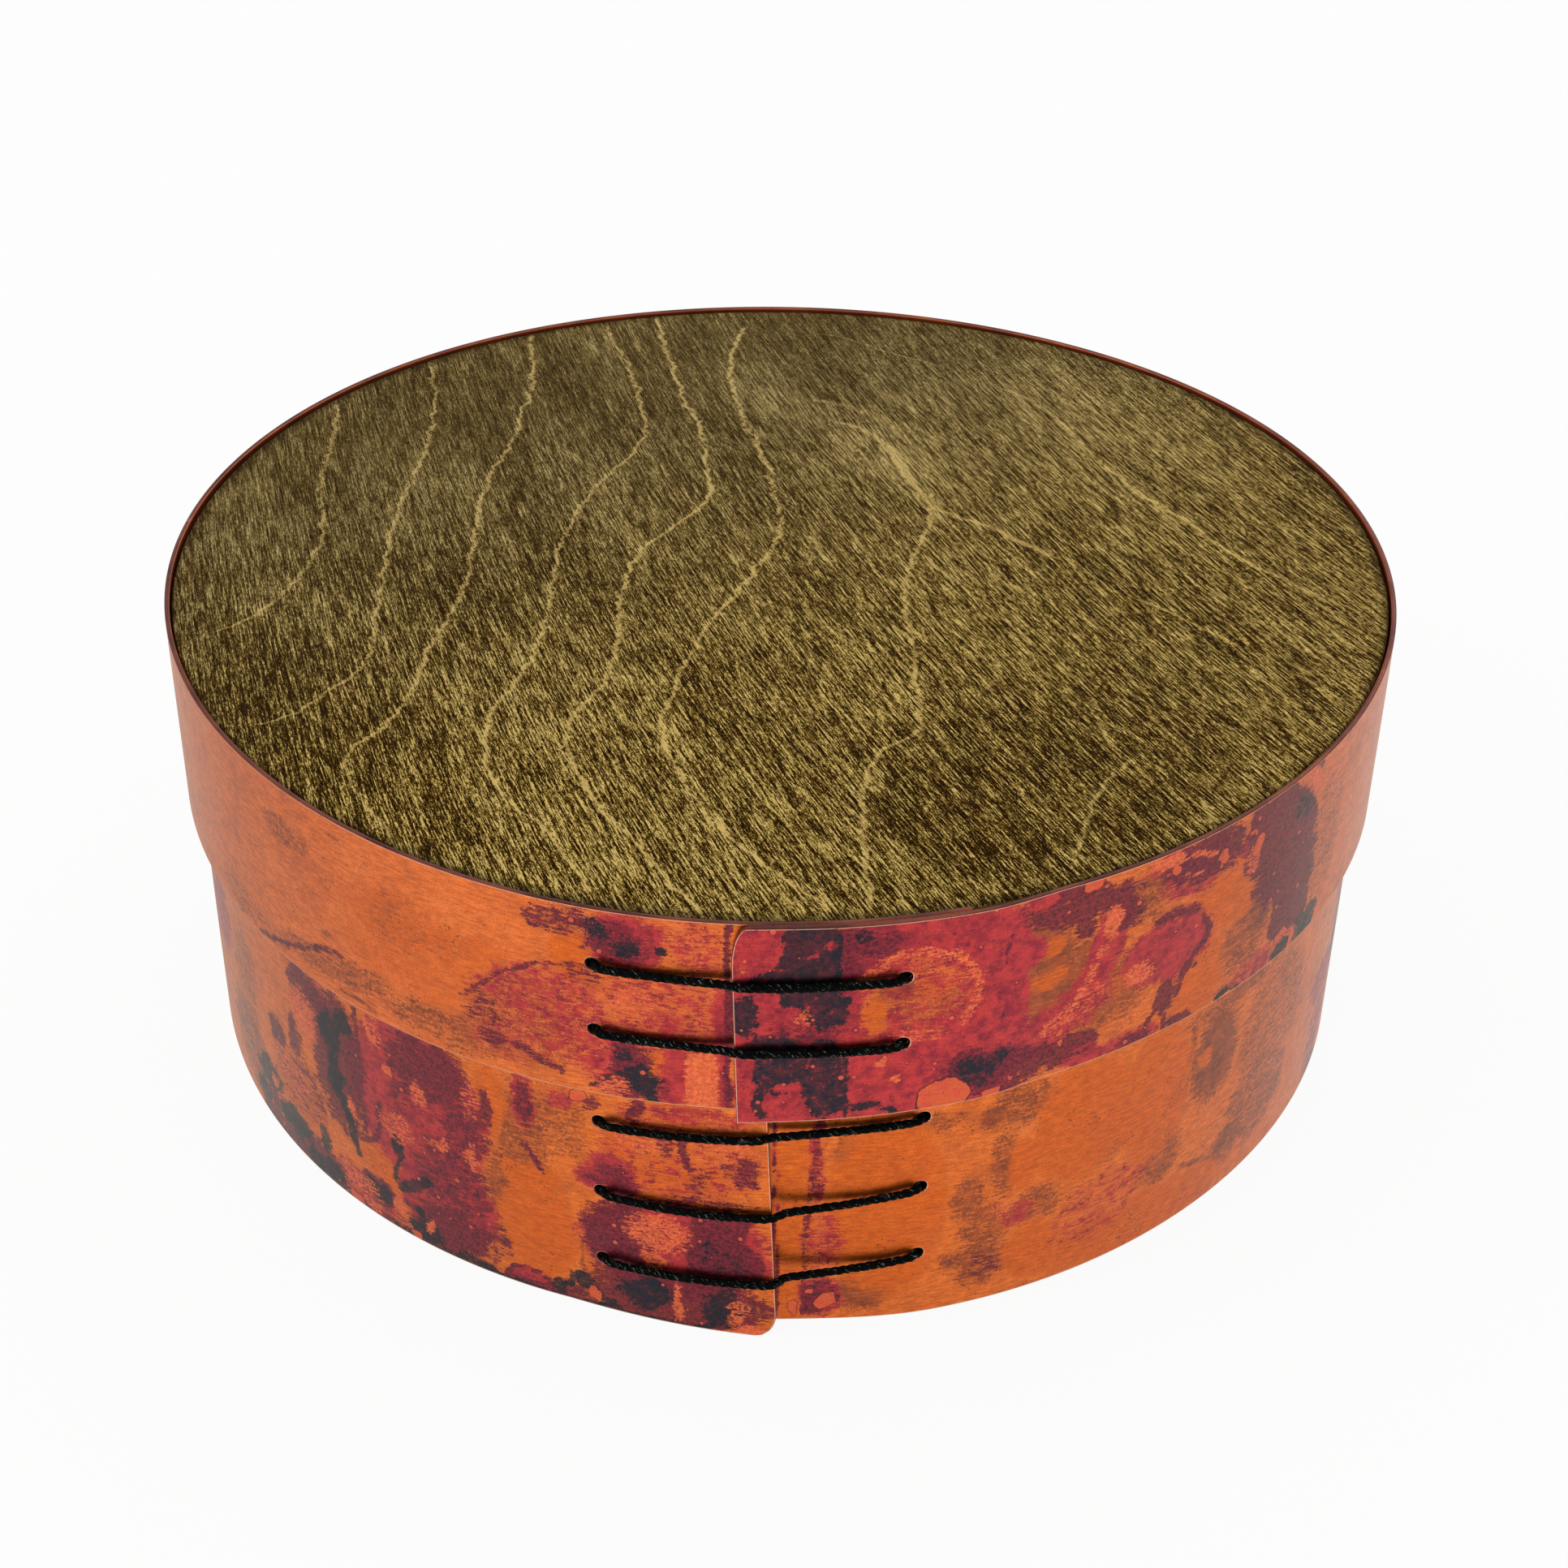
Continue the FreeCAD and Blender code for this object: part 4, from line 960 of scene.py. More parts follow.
def stained_copper(name, bare, shift):
    """Bare copper under painted stains. The shift gives each band its own noise."""
    material, tree, shader = new_material(name)
    sheet = shifted(tree, node(tree, "UVMap", uv_map="sheet").outputs[0], shift)
    marks = use_group(tree, sheet_marks, {"Sheet": sheet})
    blots, fine, dry, grain = copper_noises(tree, sheet)
    colour = mixed(tree, ramp(tree, dry[2], 0.38, 0.62), *bare)
    haze = noise(tree, stretched(tree, sheet, (0.13, 0.17, 1.0)), 1.0, 9.0, 0.72)
    colour = washed(tree, colour, ramp(tree, haze, 0.50, 0.64), 0.42, HAZE_COLOUR)
    colour = washed(tree, colour, ramp(tree, haze, 0.46, 0.36), 0.35, GLOW_COLOUR)
    covered = 0.0
    for stain, noises in stain_noises(blots, fine, dry).items():
        colour, mask = laid_stain(tree, colour, stain, noises, grain)
        if stain in ("rose", "plum", "ink"):
            covered = maths(tree, "MAXIMUM", covered, mask)
    colour = marked(tree, colour, marks, covered)
    colour = shaded(tree, colour, marks["Brush"], 0.86, 1.14)
    colour = shaded(tree, colour, blots[0], 0.86, 1.14)
    colour = shaded(tree, colour, noise(tree, sheet, 4.0, 4.0, 0.75), 0.76, 1.24)
    colour = washed(tree, colour, marks["Scratch"], 0.16, SCRATCH_COLOUR)
    # Cut edges and hole rims: polished copper, with a painted highlight along them
    rim = ramp(tree, node(tree, "Attribute", attribute_name="edge").outputs["Fac"], 0.2, 0.7)
    rim = times(tree, rim, ramp(tree, fine[1], 0.28, 0.46))
    colour = washed(tree, colour, rim, 0.85, EDGE_POLISH_HIGHLIGHT_COLOUR)
    relief = plus(tree, marks["Brush"], times(tree, fine[0], 0.5))
    set_inputs(tree, shader, {"Base Color": colour, "Normal": bumped(tree, relief, 0.25, 0.03),
                              "Roughness": scaled(tree, blots[2], 0.3, 0.7, 0.32, 0.44)} | COPPER_FINISH)
    return material


lid_copper = stained_copper("stained_lid_copper", LID_COLOURS, (0.0, 0.0, 0.0))
base_copper = stained_copper("stained_base_copper", BASE_COLOURS, (340.0, 170.0, 0.0))
print("materials:", lid_copper.name, base_copper.name)

# %% Inside and cut edge of the sheet


def plain_copper(name, first, second, roughness):
    """Copper that was left as it came, with a light haze and brushing."""
    material, tree, shader = new_material(name)
    sheet = node(tree, "UVMap", uv_map="sheet").outputs[0]
    moved = shifted(tree, sheet, (90.0, 40.0, 0.0))
    marks = use_group(tree, sheet_marks, {"Sheet": moved})
    haze = noise(tree, stretched(tree, sheet, (0.08, 0.12, 1.0)), 1.0, 5.0)
    colour = mixed(tree, ramp(tree, haze, 0.35, 0.65), first, second)
    colour = washed(tree, colour, marks["Speckle"], 0.5, paint(92, 56, 44))
    colour = shaded(tree, colour, noise(tree, moved, 1.4, 5.0, 0.7), 0.86, 1.12)
    colour = washed(tree, colour, marks["Scratch"], 0.2, paint(236, 180, 150))
    rough = plus(tree, times(tree, marks["Brush"], 0.2), roughness - 0.1)
    set_inputs(tree, shader, {"Base Color": colour, "Roughness": rough, "Metallic": 0.9,
                              "Normal": bumped(tree, marks["Brush"], 0.2, 0.02)})
    return material


inner_copper = plain_copper("inner_copper", paint(196, 104, 64), paint(168, 86, 58), 0.38)
cut_copper = plain_copper("cut_copper", paint(132, 74, 58), paint(86, 46, 40), 0.40)
print("materials:", inner_copper.name, cut_copper.name)

# %% [markdown]
# ## Lid band
# The right end of the strip laps over the left end. The free end springs off the sheet below it by a
# quarter of a millimetre, which the bending gives it. Its upper corner is cut round and its lower edge
# hangs a little low, and both are done on the flat strip, by moving the points near the end.

# %% Lid band
LID_SEAM = -4.85                  # run of the outer end
LID_HIDDEN_END = 23.0             # run of the inner end
LID_END_DROP = 1.4                # how much lower the outer end's lower edge hangs
LID_END_LEAN = 0.75               # how much further right its lower corner lies than its upper one
END_LENGTH = 9.0                  # the free end springs out and leans over this length
LID_SPRING = 0.25
LID_CORNER = (1.9, 5.7)           # width and height of the rounding of its upper corner
LID_LAP_FADE = 12.0               # past the hidden end, the band comes in by one layer over this length
LID_ROWS = (57.5, 47.6)
LID_LEFT_HOLES = -21.1
LID_RIGHT_HOLES = 15.2
FRONT_CELL = 0.55                 # width of the grid's cells in front, where the paint is fine
BACK_CELL = 1.1
LID_ROW_CELL = 0.58               # their height


def lid_outer_layer(run):
    """Outset of the lid band, from its outer end round to its hidden end."""
    lap = 1.0 - ease(run, LID_HIDDEN_END + LAYER, LID_LAP_FADE)
    lift = max(0.0, 1.0 - (run - LID_SEAM) / END_LENGTH)
    return LAYER * lap + LID_SPRING * lift * lift


def corner_inset(distance, width, height):
    """How far a rounded corner has drawn the end in, at that distance from the edge."""
    left_over = min(1.0, max(0.0, 1.0 - distance / height))
    return width * (1.0 - math.sqrt(1.0 - left_over * left_over))


def front_cell(run):
    """Narrow cells where the front's paint lies, wide ones round the back."""
    return BACK_CELL if BACK_FROM < run < ROUND - BACK_FROM else FRONT_CELL


lid_strip = flat_strip(walk(LID_SEAM, ROUND + LID_HIDDEN_END, front_cell),
                       walk(LID_LEVEL_EDGE, LID_TOP, lambda height: LID_ROW_CELL))
for vert in lid_strip.verts:
    run, height, _ = vert.co
    foot = (LID_TOP - height) / (LID_TOP - LID_LEVEL_EDGE)
    lean = LID_END_LEAN * foot + corner_inset(LID_TOP - height, *LID_CORNER)
    vert.co.x += lean * (1.0 - ease(run, LID_SEAM, END_LENGTH))
    vert.co.y -= LID_END_DROP * foot * max(0.0, 1.0 - (run - LID_SEAM) / LID_DROP_LENGTH)
dented(lid_strip, 3, 0.10)
lid_holes = [(run, height) for height in LID_ROWS
             for run in (LID_RIGHT_HOLES, LID_RIGHT_HOLES + ROUND, LID_LEFT_HOLES + ROUND)]
for hole in lid_holes:
    punch(lid_strip, *hole)
paint_strip(lid_strip, (LID_POOLS, back_pools(11, LID_TOP)), LID_STROKES, LID_SEAM)
mark_edges(lid_strip, lid_holes)
lid_band = bend_strip(lid_strip, "lid_copper_band", lambda run, height: lid_outer_layer(run),
                      (lid_copper, inner_copper, cut_copper))
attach(lid_band, "lid")
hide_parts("lid_band")
print(lid_band.name, len(lid_band.data.polygons), "faces before its wall")

# %% [markdown]
# ## Base band
# The base is lapped the other way: its left end lies outside, and its free lower corner springs out by
# more than 2 mm, where the lid doesn't hold it down. The band goes up inside the lid as far as the panel.
# Its rows of holes climb a little to the right.

# %% Base band
BASE_SEAM = -0.6
BASE_HIDDEN_END = -29.0
BASE_ROWS = (8.8, 20.2, 31.6)     # at the left holes
BASE_ROW_CLIMB = 1.6
BASE_LEFT_HOLES = -21.6
BASE_RIGHT_HOLES = 19.0
BASE_END_LEAN = 1.6               # how much further right the outer end's lower corner lies
BASE_CORNER = (2.9, 4.0)          # width and height of the rounding of that corner
FLARE = 2.3                       # how far that corner springs out
FLARE_LENGTH = 26.0
FLARE_CURVE = 1.3
BASE_STEP_FROM = 2.5              # left of here the band lies one layer in, behind its own outer end
BASE_STEP_LENGTH = 19.0           # and it comes out again over this length
BASE_PAINT_TOP = 38.0             # pools on the back reach a little above the lid's lower edge
BASE_FINE_TOP = 38.5              # above this the lid hides the band, and the grid is coarse
BASE_ROW_CELL = 0.68
HIDDEN_ROW_CELL = 2.6


def base_row(row, run):
    """Height of a row of the base's lacing, which climbs from its left hole to its right one."""
    return row + BASE_ROW_CLIMB * (run - BASE_LEFT_HOLES) / (BASE_RIGHT_HOLES - BASE_LEFT_HOLES)


def below_lid(height):
    """1 at the table, 0 from the lid's lower edge up."""
    return max(0.0, 1.0 - height / LID_LEVEL_EDGE)


def base_end_run(height):
    """Run of the base band's outer end, which leans right below the lid."""
    return BASE_SEAM + BASE_END_LEAN * below_lid(height)


def base_inner_layer(run):
    """Outset of the base band behind its own outer end."""
    return -LAYER * (1.0 - ease(run, BASE_STEP_FROM, BASE_STEP_LENGTH))


def base_row_cell(height):
    """Low cells where paint shows, high ones behind the lid."""
    return BASE_ROW_CELL if height < BASE_FINE_TOP else HIDDEN_ROW_CELL


def base_outset(run, height):
    """Outset of the base band, from its hidden end round to its outer end."""
    along = max(0.0, (run - ROUND - BASE_SEAM + FLARE_LENGTH) / FLARE_LENGTH)
    return base_inner_layer(run) + FLARE * below_lid(height) * along ** FLARE_CURVE - BASE_INSET


base_strip = flat_strip(walk(BASE_HIDDEN_END, ROUND + BASE_SEAM, front_cell),
                        walk(0.0, BASE_RIM, base_row_cell))
for vert in base_strip.verts:
    run, height, _ = vert.co
    lean = base_end_run(height) - BASE_SEAM - corner_inset(height, *BASE_CORNER)
    vert.co.x += lean * ease(run, ROUND + BASE_SEAM - END_LENGTH, END_LENGTH)
dented(base_strip, 8, 0.12)
base_holes = [(run, base_row(row, side)) for row in BASE_ROWS
              for run, side in ((BASE_LEFT_HOLES, BASE_LEFT_HOLES), (BASE_RIGHT_HOLES, BASE_RIGHT_HOLES),
                                (BASE_LEFT_HOLES + ROUND, BASE_LEFT_HOLES))]
for hole in base_holes:
    punch(base_strip, *hole)
paint_strip(base_strip, (BASE_POOLS, back_pools(23, BASE_PAINT_TOP)), BASE_STROKES, BASE_SEAM)
mark_edges(base_strip, base_holes)
base_band = bend_strip(base_strip, "base_copper_band", base_outset, (base_copper, inner_copper, cut_copper))
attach(base_band, "base")
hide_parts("base_band")
print(base_band.name, len(base_band.data.polygons), "faces before its wall")

# %% [markdown]
# ## Stained plywood
# The panels are birch plywood with a rotary-cut face, stained olive brown. Its fibre leans and fans out a
# little to the right. Along it lie soft clouds, streaks, and thin dark pores that hold most of the stain.
# Light jagged growth lines cross all of them. They are drawn with Float Curve nodes, which give x for
# each y, so they stay sharp however close one looks.

# %% Node group for the fibre
FAN = 0.0020                      # how fast the lean of the fibre grows to the right, for each mm
LEAN = 0.397                      # its lean in the middle of the panel, as x for each mm of y


def make_ply_fibre():
    """Tone, pores and streaks along the fibre, and how far the growth lines jag to the side."""
    tree, given, result = new_group("Ply fibre", [("Place", "Vector"), ("Contrast", "Float")],
                                    ["Tone", "Pore", "Streak", "Jag"])
    parts = node(tree, "SeparateXYZ", {0: given["Place"]}).outputs
    lean = plus(tree, times(tree, parts[0], FAN), LEAN)
    across = plus(tree, parts[0], times(tree, parts[1], lean))
    fibre = node(tree, "CombineXYZ", {0: across, 1: parts[1], 2: parts[2]}).outputs[0]

    def noise_by(place_at, scale, detail, roughness=0.55):
        """Noise around 0, drawn out as the scale says."""
        made = noise(tree, stretched(tree, place_at, scale), 1.0, detail, roughness)
        return minus(tree, made, 0.5)

    cloud = noise_by(fibre, (0.10, 0.035, 0.1), 4.0)
    streak = noise_by(fibre, (1.5, 0.10, 1.0), 4.0)
    pore = noise_by(fibre, (4.9, 0.26, 1.0), 2.0)
    small_pore = noise_by(fibre, (8.0, 1.3, 1.0), 1.5)
    speck = noise_by(fibre, (9.0, 6.0, 1.0), 1.0)
    pores = plus(tree, times(tree, pore, 4.6), times(tree, small_pore, 3.8))
    pores = plus(tree, pores, times(tree, speck, 3.0))
    tone = plus(tree, times(tree, pores, given["Contrast"]), times(tree, streak, 0.8))
    tone = plus(tree, tone, times(tree, cloud, 0.9))
    slow = noise_by(given["Place"], (0.10, 0.35, 1.0), 3.0, 0.6)
    quick = noise_by(given["Place"], (0.5, 1.6, 1.0), 3.0, 0.7)
    jag = plus(tree, times(tree, slow, 2.6), times(tree, quick, 1.5))
    jag = plus(tree, jag, times(tree, pore, 0.9))
    set_inputs(tree, result, {"Tone": plus(tree, tone, 0.35), "Pore": ramp(tree, pore, -0.10, -0.20),
                              "Streak": plus(tree, streak, 0.5), "Jag": jag})
    return tree


ply_fibre = make_ply_fibre()
print("group:", ply_fibre.name)

# %% Growth lines: half width and strength, then x and y of points along each
GROWTH_LINES = [
    (0.34, 0.7, (-66, 44.5), (-65, 36), (-65.2, 27), (-64.5, 17), (-63, 7), (-63.5, -2), (-65.5, -8),
     (-68, -13), (-73, -18.5), (-77.5, -19.5)),
    (0.34, 0.8, (-54, 58.5), (-51.5, 44), (-51.5, 36), (-51.8, 27), (-52.8, 19), (-53.3, 9), (-53.2, -11),
     (-52.7, -21), (-53, -26), (-56, -31), (-58.5, -35), (-61.5, -38.5), (-69, -40.5)),
    (0.36, 0.9, (-39, 68), (-38.5, 61), (-37.5, 52), (-38.5, 42), (-39, 34), (-41, 26), (-42, 17), (-42, 9),
     (-41.8, -1), (-42.5, -9), (-44, -17), (-45.5, -25), (-46.5, -33), (-48.5, -39), (-52.5, -47),
     (-51.5, -52), (-48.5, -57), (-45, -63)),
    (0.36, 0.9, (-28.2, 71.5), (-26.5, 66), (-24, 59), (-21, 45), (-20, 38), (-21, 32), (-23, 27), (-26, 21),
     (-28.5, 13), (-30, 5), (-30.5, -12), (-31, -19), (-32.5, -27), (-35, -34), (-36, -41), (-35, -48),
     (-32, -55), (-27, -61), (-23, -69), (-21, -73)),
    (0.40, 1.0, (-20, 74), (-19, 68), (-17.5, 61), (-16, 53), (-14, 45), (-12, 38), (-11, 29), (-10.5, 17),
     (-15, 10), (-18, 5), (-20.5, -3), (-21, -19), (-21.5, -27), (-24, -34), (-26, -39), (-24.5, -48),
     (-21, -56), (-16, -64), (-12, -71), (-8.5, -76)),
    (0.40, 1.0, (-6, 71.5), (-7.5, 65), (-8, 59), (-7.5, 51), (-6, 42), (-4, 35), (-1, 20), (0, 13),
     (-0.5, 6), (-3, -1), (-6, -8), (-9, -15), (-11, -22), (-14, -36), (-14, -42), (-11.5, -50),
     (-8.5, -57), (-3, -65), (5, -74)),
    (0.42, 0.9, (21, 20), (20.5, 11), (18.5, 5), (17, -3), (16.5, -11), (17.5, -19), (17.5, -27), (18, -34),
     (17, -40), (13, -44), (11, -49), (10.5, -57), (10.5, -66), (11, -74)),
    (0.80, 0.8, (8, 41), (14, 36), (18, 25), (21, 17), (24, 14), (30, 10), (37, 2.5)),
    (1.50, 0.38, (4, 48), (9, 46), (15, 41), (17, 36)),
    (0.50, 0.5, (32, 53), (38, 47), (42, 39), (46, 29)),
    (0.60, 0.9, (46, 29), (51, 20), (57, 12), (61, 5), (67, -1), (73, -8)),
    (0.42, 0.8, (47, -7), (55, -14), (60, -19)),
    (0.38, 0.7, (35, -67), (37, -58), (40, -50), (44, -44)),
    (0.38, 0.6, (44, -44), (50, -43.1), (57, -45), (62, -47)),
    (0.30, 0.5, (1, 70.5), (7, 69), (12, 66.5), (17, 63), (23, 59.5), (26, 58)),
]
FIGURE_REACH = 90.0               # the curves' 0 to 1 stands for this far to each side of the middle
print("growth lines:", len(GROWTH_LINES))

# %% Where the stain took deeper (below 0) or less deep: x, y, reach and share
STAIN_SPOTS = [(32, -52, 22, -0.33), (-44, -52, 18, -0.16), (46, -18, 20, -0.10), (-2, -28, 14, -0.08),
               (32, 42, 24, 0.15), (-60, 20, 18, 0.08), (62, 26, 16, 0.04), (0, -66, 12, 0.10),
               (-30, -10, 20, -0.12), (-62, -36, 18, -0.16), (14, 30, 10, 0.14), (-14, -58, 12, 0.10)]
print("spots:", len(STAIN_SPOTS))

# %% One growth line


def growth_line(tree, spot, jag, half_width, strength, points):
    """Share of one light growth line at each place."""
    parts = node(tree, "SeparateXYZ", {0: spot}).outputs
    share = maths(tree, "DIVIDE", plus(tree, parts[1], FIGURE_REACH), 2.0 * FIGURE_REACH)
    curve = node(tree, "FloatCurve", {"Value": share})
    drawn = sorted(((y + FIGURE_REACH) / (2.0 * FIGURE_REACH), (x + FIGURE_REACH) / (2.0 * FIGURE_REACH))
                   for x, y in points)
    spots = curve.mapping.curves[0].points
    spots[0].location = drawn[0]
    spots[-1].location = drawn[-1]
    for pair in drawn[1:-1]:
        spots.new(*pair)
    curve.mapping.update()
    line_x = minus(tree, times(tree, curve.outputs[0], 2.0 * FIGURE_REACH), FIGURE_REACH)
    away = maths(tree, "ABSOLUTE", plus(tree, minus(tree, parts[0], line_x), jag))
    core = ramp(tree, away, 1.20 * half_width, 0.30 * half_width)
    low = drawn[0][0] - 0.003
    high = drawn[-1][0] + 0.003
    inside = times(tree, ramp(tree, share, low, low + 0.01), ramp(tree, share, high, high - 0.01))
    return times(tree, times(tree, core, inside), strength)


print("growth line ready")

# %% Figure of the lid's panel


def stain_depth(tree, flat, tone):
    """The tone with the deeper and paler spots of the stain."""
    for x, y, reach, share in STAIN_SPOTS:
        far = node(tree, "VectorMath", {0: flat, 1: (x, y, 0.0)}, operation="DISTANCE").outputs["Value"]
        tone = plus(tree, tone, times(tree, ramp(tree, far, 1.4 * reach, 0.3 * reach), share))
    return tone


def growth_figure(tree, spot, jag):
    """All growth lines together, worn away in places."""
    lines = 0.0
    for half_width, strength, *points in GROWTH_LINES:
        line = growth_line(tree, spot, jag, half_width, strength, points)
        lines = maths(tree, "MAXIMUM", lines, line)
    worn = noise(tree, stretched(tree, spot, (1.2, 0.7, 1.0)), 1.0, 4.0, 0.65)
    return times(tree, lines, ramp(tree, worn, 0.28, 0.54))


print("figure ready")

# %% Colour of the face and the edge
RIM_ACROSS = 81.6                 # half width of the panel, where the stain gathers along its rim
RIM_ALONG = 77.5
PLY_LAYER = 0.83                  # thickness of one layer of the plywood


def face_colour(tree, tone, far_left):
    """Dark, middle and light of the stain, greyer towards the far left, where a sheen is painted in."""
    painted_sheen = ramp(tree, far_left, -40.0, 60.0)
    dark = mixed(tree, painted_sheen, paint(36, 15, 0), paint(46, 28, 3))
    middle = mixed(tree, painted_sheen, paint(109, 84, 20), paint(102, 83, 42))
    light = mixed(tree, painted_sheen, paint(218, 188, 112), paint(192, 170, 114))
    colour = mixed(tree, ramp(tree, tone, -0.1, 0.5, smooth=False), dark, middle)
    return mixed(tree, ramp(tree, tone, 0.5, 1.25, smooth=False), colour, light)


def darker_rim(tree, colour, parts):
    """The colour with stain gathered along the rim of the panel."""
    across = maths(tree, "DIVIDE", parts[0], RIM_ACROSS)
    along = maths(tree, "DIVIDE", parts[1], RIM_ALONG)
    out = maths(tree, "SQRT", plus(tree, times(tree, across, across), times(tree, along, along)))
    return washed(tree, colour, ramp(tree, out, 0.978, 1.0), 0.6, paint(34, 25, 10))


def layered_edge(tree, colour, parts):
    """The colour with the bare layers of the plywood round its edge."""
    facing = node(tree, "SeparateXYZ", {0: node(tree, "NewGeometry").outputs["Normal"]}).outputs[2]
    on_edge = ramp(tree, maths(tree, "ABSOLUTE", facing), 0.5, 0.2)
    layers = ramp(tree, maths(tree, "PINGPONG", parts[2], PLY_LAYER), 0.3, 0.5)
    return mixed(tree, on_edge, colour, mixed(tree, layers, paint(150, 116, 66), paint(84, 60, 30)))


print("ply colours ready")

# %% Ply materials


def stained_ply(name, node_name, shift, figured):
    """Stained plywood for one panel, on Object coordinates in millimetres."""
    material, tree, shader = new_material(name)
    spot = object_millimetres(tree)
    parts = node(tree, "SeparateXYZ", {0: spot}).outputs
    # Towards the back left a painted sheen greys the wood and softens its figure
    far_left = minus(tree, parts[1], times(tree, parts[0], 0.6))
    contrast = scaled(tree, far_left, -30.0, 65.0, 1.0, 0.45)
    fibre = use_group(tree, ply_fibre, {"Place": shifted(tree, spot, shift), "Contrast": contrast})
    tone = fibre["Tone"]
    lines = 0.0
    if figured:
        tone = stain_depth(tree, stretched(tree, spot, (1.0, 1.0, 0.0)), tone)
        lines = growth_figure(tree, spot, fibre["Jag"])
        tone = plus(tree, tone, times(tree, lines, 0.70))
    colour = face_colour(tree, tone, far_left)
    colour = washed(tree, colour, lines, 0.45, paint(196, 164, 96))
    colour = washed(tree, colour, fibre["Pore"], 0.25, paint(38, 18, 2))
    colour = darker_rim(tree, colour, parts)
    colour = layered_edge(tree, colour, parts)
    relief = minus(tree, times(tree, fibre["Streak"], 0.5), fibre["Pore"])
    set_inputs(tree, shader, {"Base Color": colour, "Normal": bumped(tree, relief, 0.3, 0.03),
                              "Roughness": scaled(tree, fibre["Streak"], 0.3, 0.7, 0.46, 0.62),
                              "Specular IOR Level": 0.015})
    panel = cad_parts[node_name]
    panel.data.materials.clear()
    panel.data.materials.append(material)


stained_ply("lid_ply", "lid_panel", (0.0, 0.0, 0.0), True)
stained_ply("base_ply", "base_panel", (57.0, -31.0, 12.0), False)
print("ply on lid_panel and base_panel")

# %% [markdown]
# ## Waxed thread
# Each half is laced with one thread of three twisted plies. Its route is a smooth curve through the holes
# and over the copper. The thread itself is a grid rolled into a tube along that curve. Its section has
# three lobes that turn as they go, which gives the real grooves between the plies.

# %% Route and tube
THREAD = 1.15
STAND = 0.5 * THREAD + 0.03       # middle of the thread above the copper
LOOSE = 0.12                      # air between the thread's inner strands and the copper
STEP_OFF = 0.46                   # a stitch comes down off the lap this far beyond its end
PLY_TURN = 3.4                    # mm of thread in which the plies go round once
PLY_OFF = 0.33                    # middle of a ply from the middle of the thread, as a share of its radius
SECTION = 0.48                    # outer radius of the plies, as a share of the thread's width
UNEVEN = 0.03                     # how much that varies along the thread
THINNED = 0.02
TWIST_WANDER = (0.5, 0.31)        # how far the twist runs ahead and back, and how often for each mm
FIBRES = ((0.06, 700.0), (0.03, 2300.0))    # relief of the fibres in mm, and noise for each metre
THREAD_STEP = 0.2
THREAD_SIDES = 24


def smooth_route(points):
    """Points along the smooth curve that has these control points."""
    data = bpy.data.curves.new("route", "CURVE")
    data.dimensions = "3D"
    data.resolution_u = 16
    spline = data.splines.new("NURBS")
    spline.points.add(len(points) - 1)
    for point, spot in zip(spline.points, points):
        point.co = (*spot, 1.0)
    spline.order_u = 3
    spline.use_endpoint_u = True
    curve = bpy.data.objects.new("route", data)
    bpy.context.scene.collection.objects.link(curve)
    bpy.context.view_layer.update()
    mesh = bpy.data.meshes.new_from_object(curve)
    route = [vert.co.copy() for vert in mesh.vertices]
    bpy.data.objects.remove(curve)
    bpy.data.meshes.remove(mesh)
    return route


def even_steps(route, step):
    """The route's points moved to even steps along it."""
    marks = [0.0]
    for before, here in zip(route, route[1:]):
        marks.append(marks[-1] + (here - before).length)
    count = max(2, round(marks[-1] / step))
    spots = []
    for index in range(count + 1):
        target = marks[-1] * index / count
        at = min(bisect.bisect_right(marks, target), len(marks) - 1)
        share = (target - marks[at - 1]) / max(1e-12, marks[at] - marks[at - 1])
        spots.append(route[at - 1].lerp(route[at], share))
    return spots


def three_lobes(angle):
    """Radius of a section of three soft plies, as a share of the whole."""
    off = (angle + math.pi / 3.0) % (TURN / 3.0) - math.pi / 3.0
    ply = 1.0 - PLY_OFF
    return PLY_OFF * math.cos(off) + math.sqrt(ply ** 2 - (PLY_OFF * math.sin(off)) ** 2)


def frames_along(route):
    """Two directions across the route at each of its points, carried along without a twist."""
    last = len(route) - 1
    tangents = [(route[min(i + 1, last)] - route[max(i - 1, 0)]).normalized() for i in range(last + 1)]
    side = tangents[0].orthogonal().normalized()
    frames = []
    for tangent in tangents:
        side = (side - tangent * side.dot(tangent)).normalized()
        frames.append((side, tangent.cross(side)))
    return frames


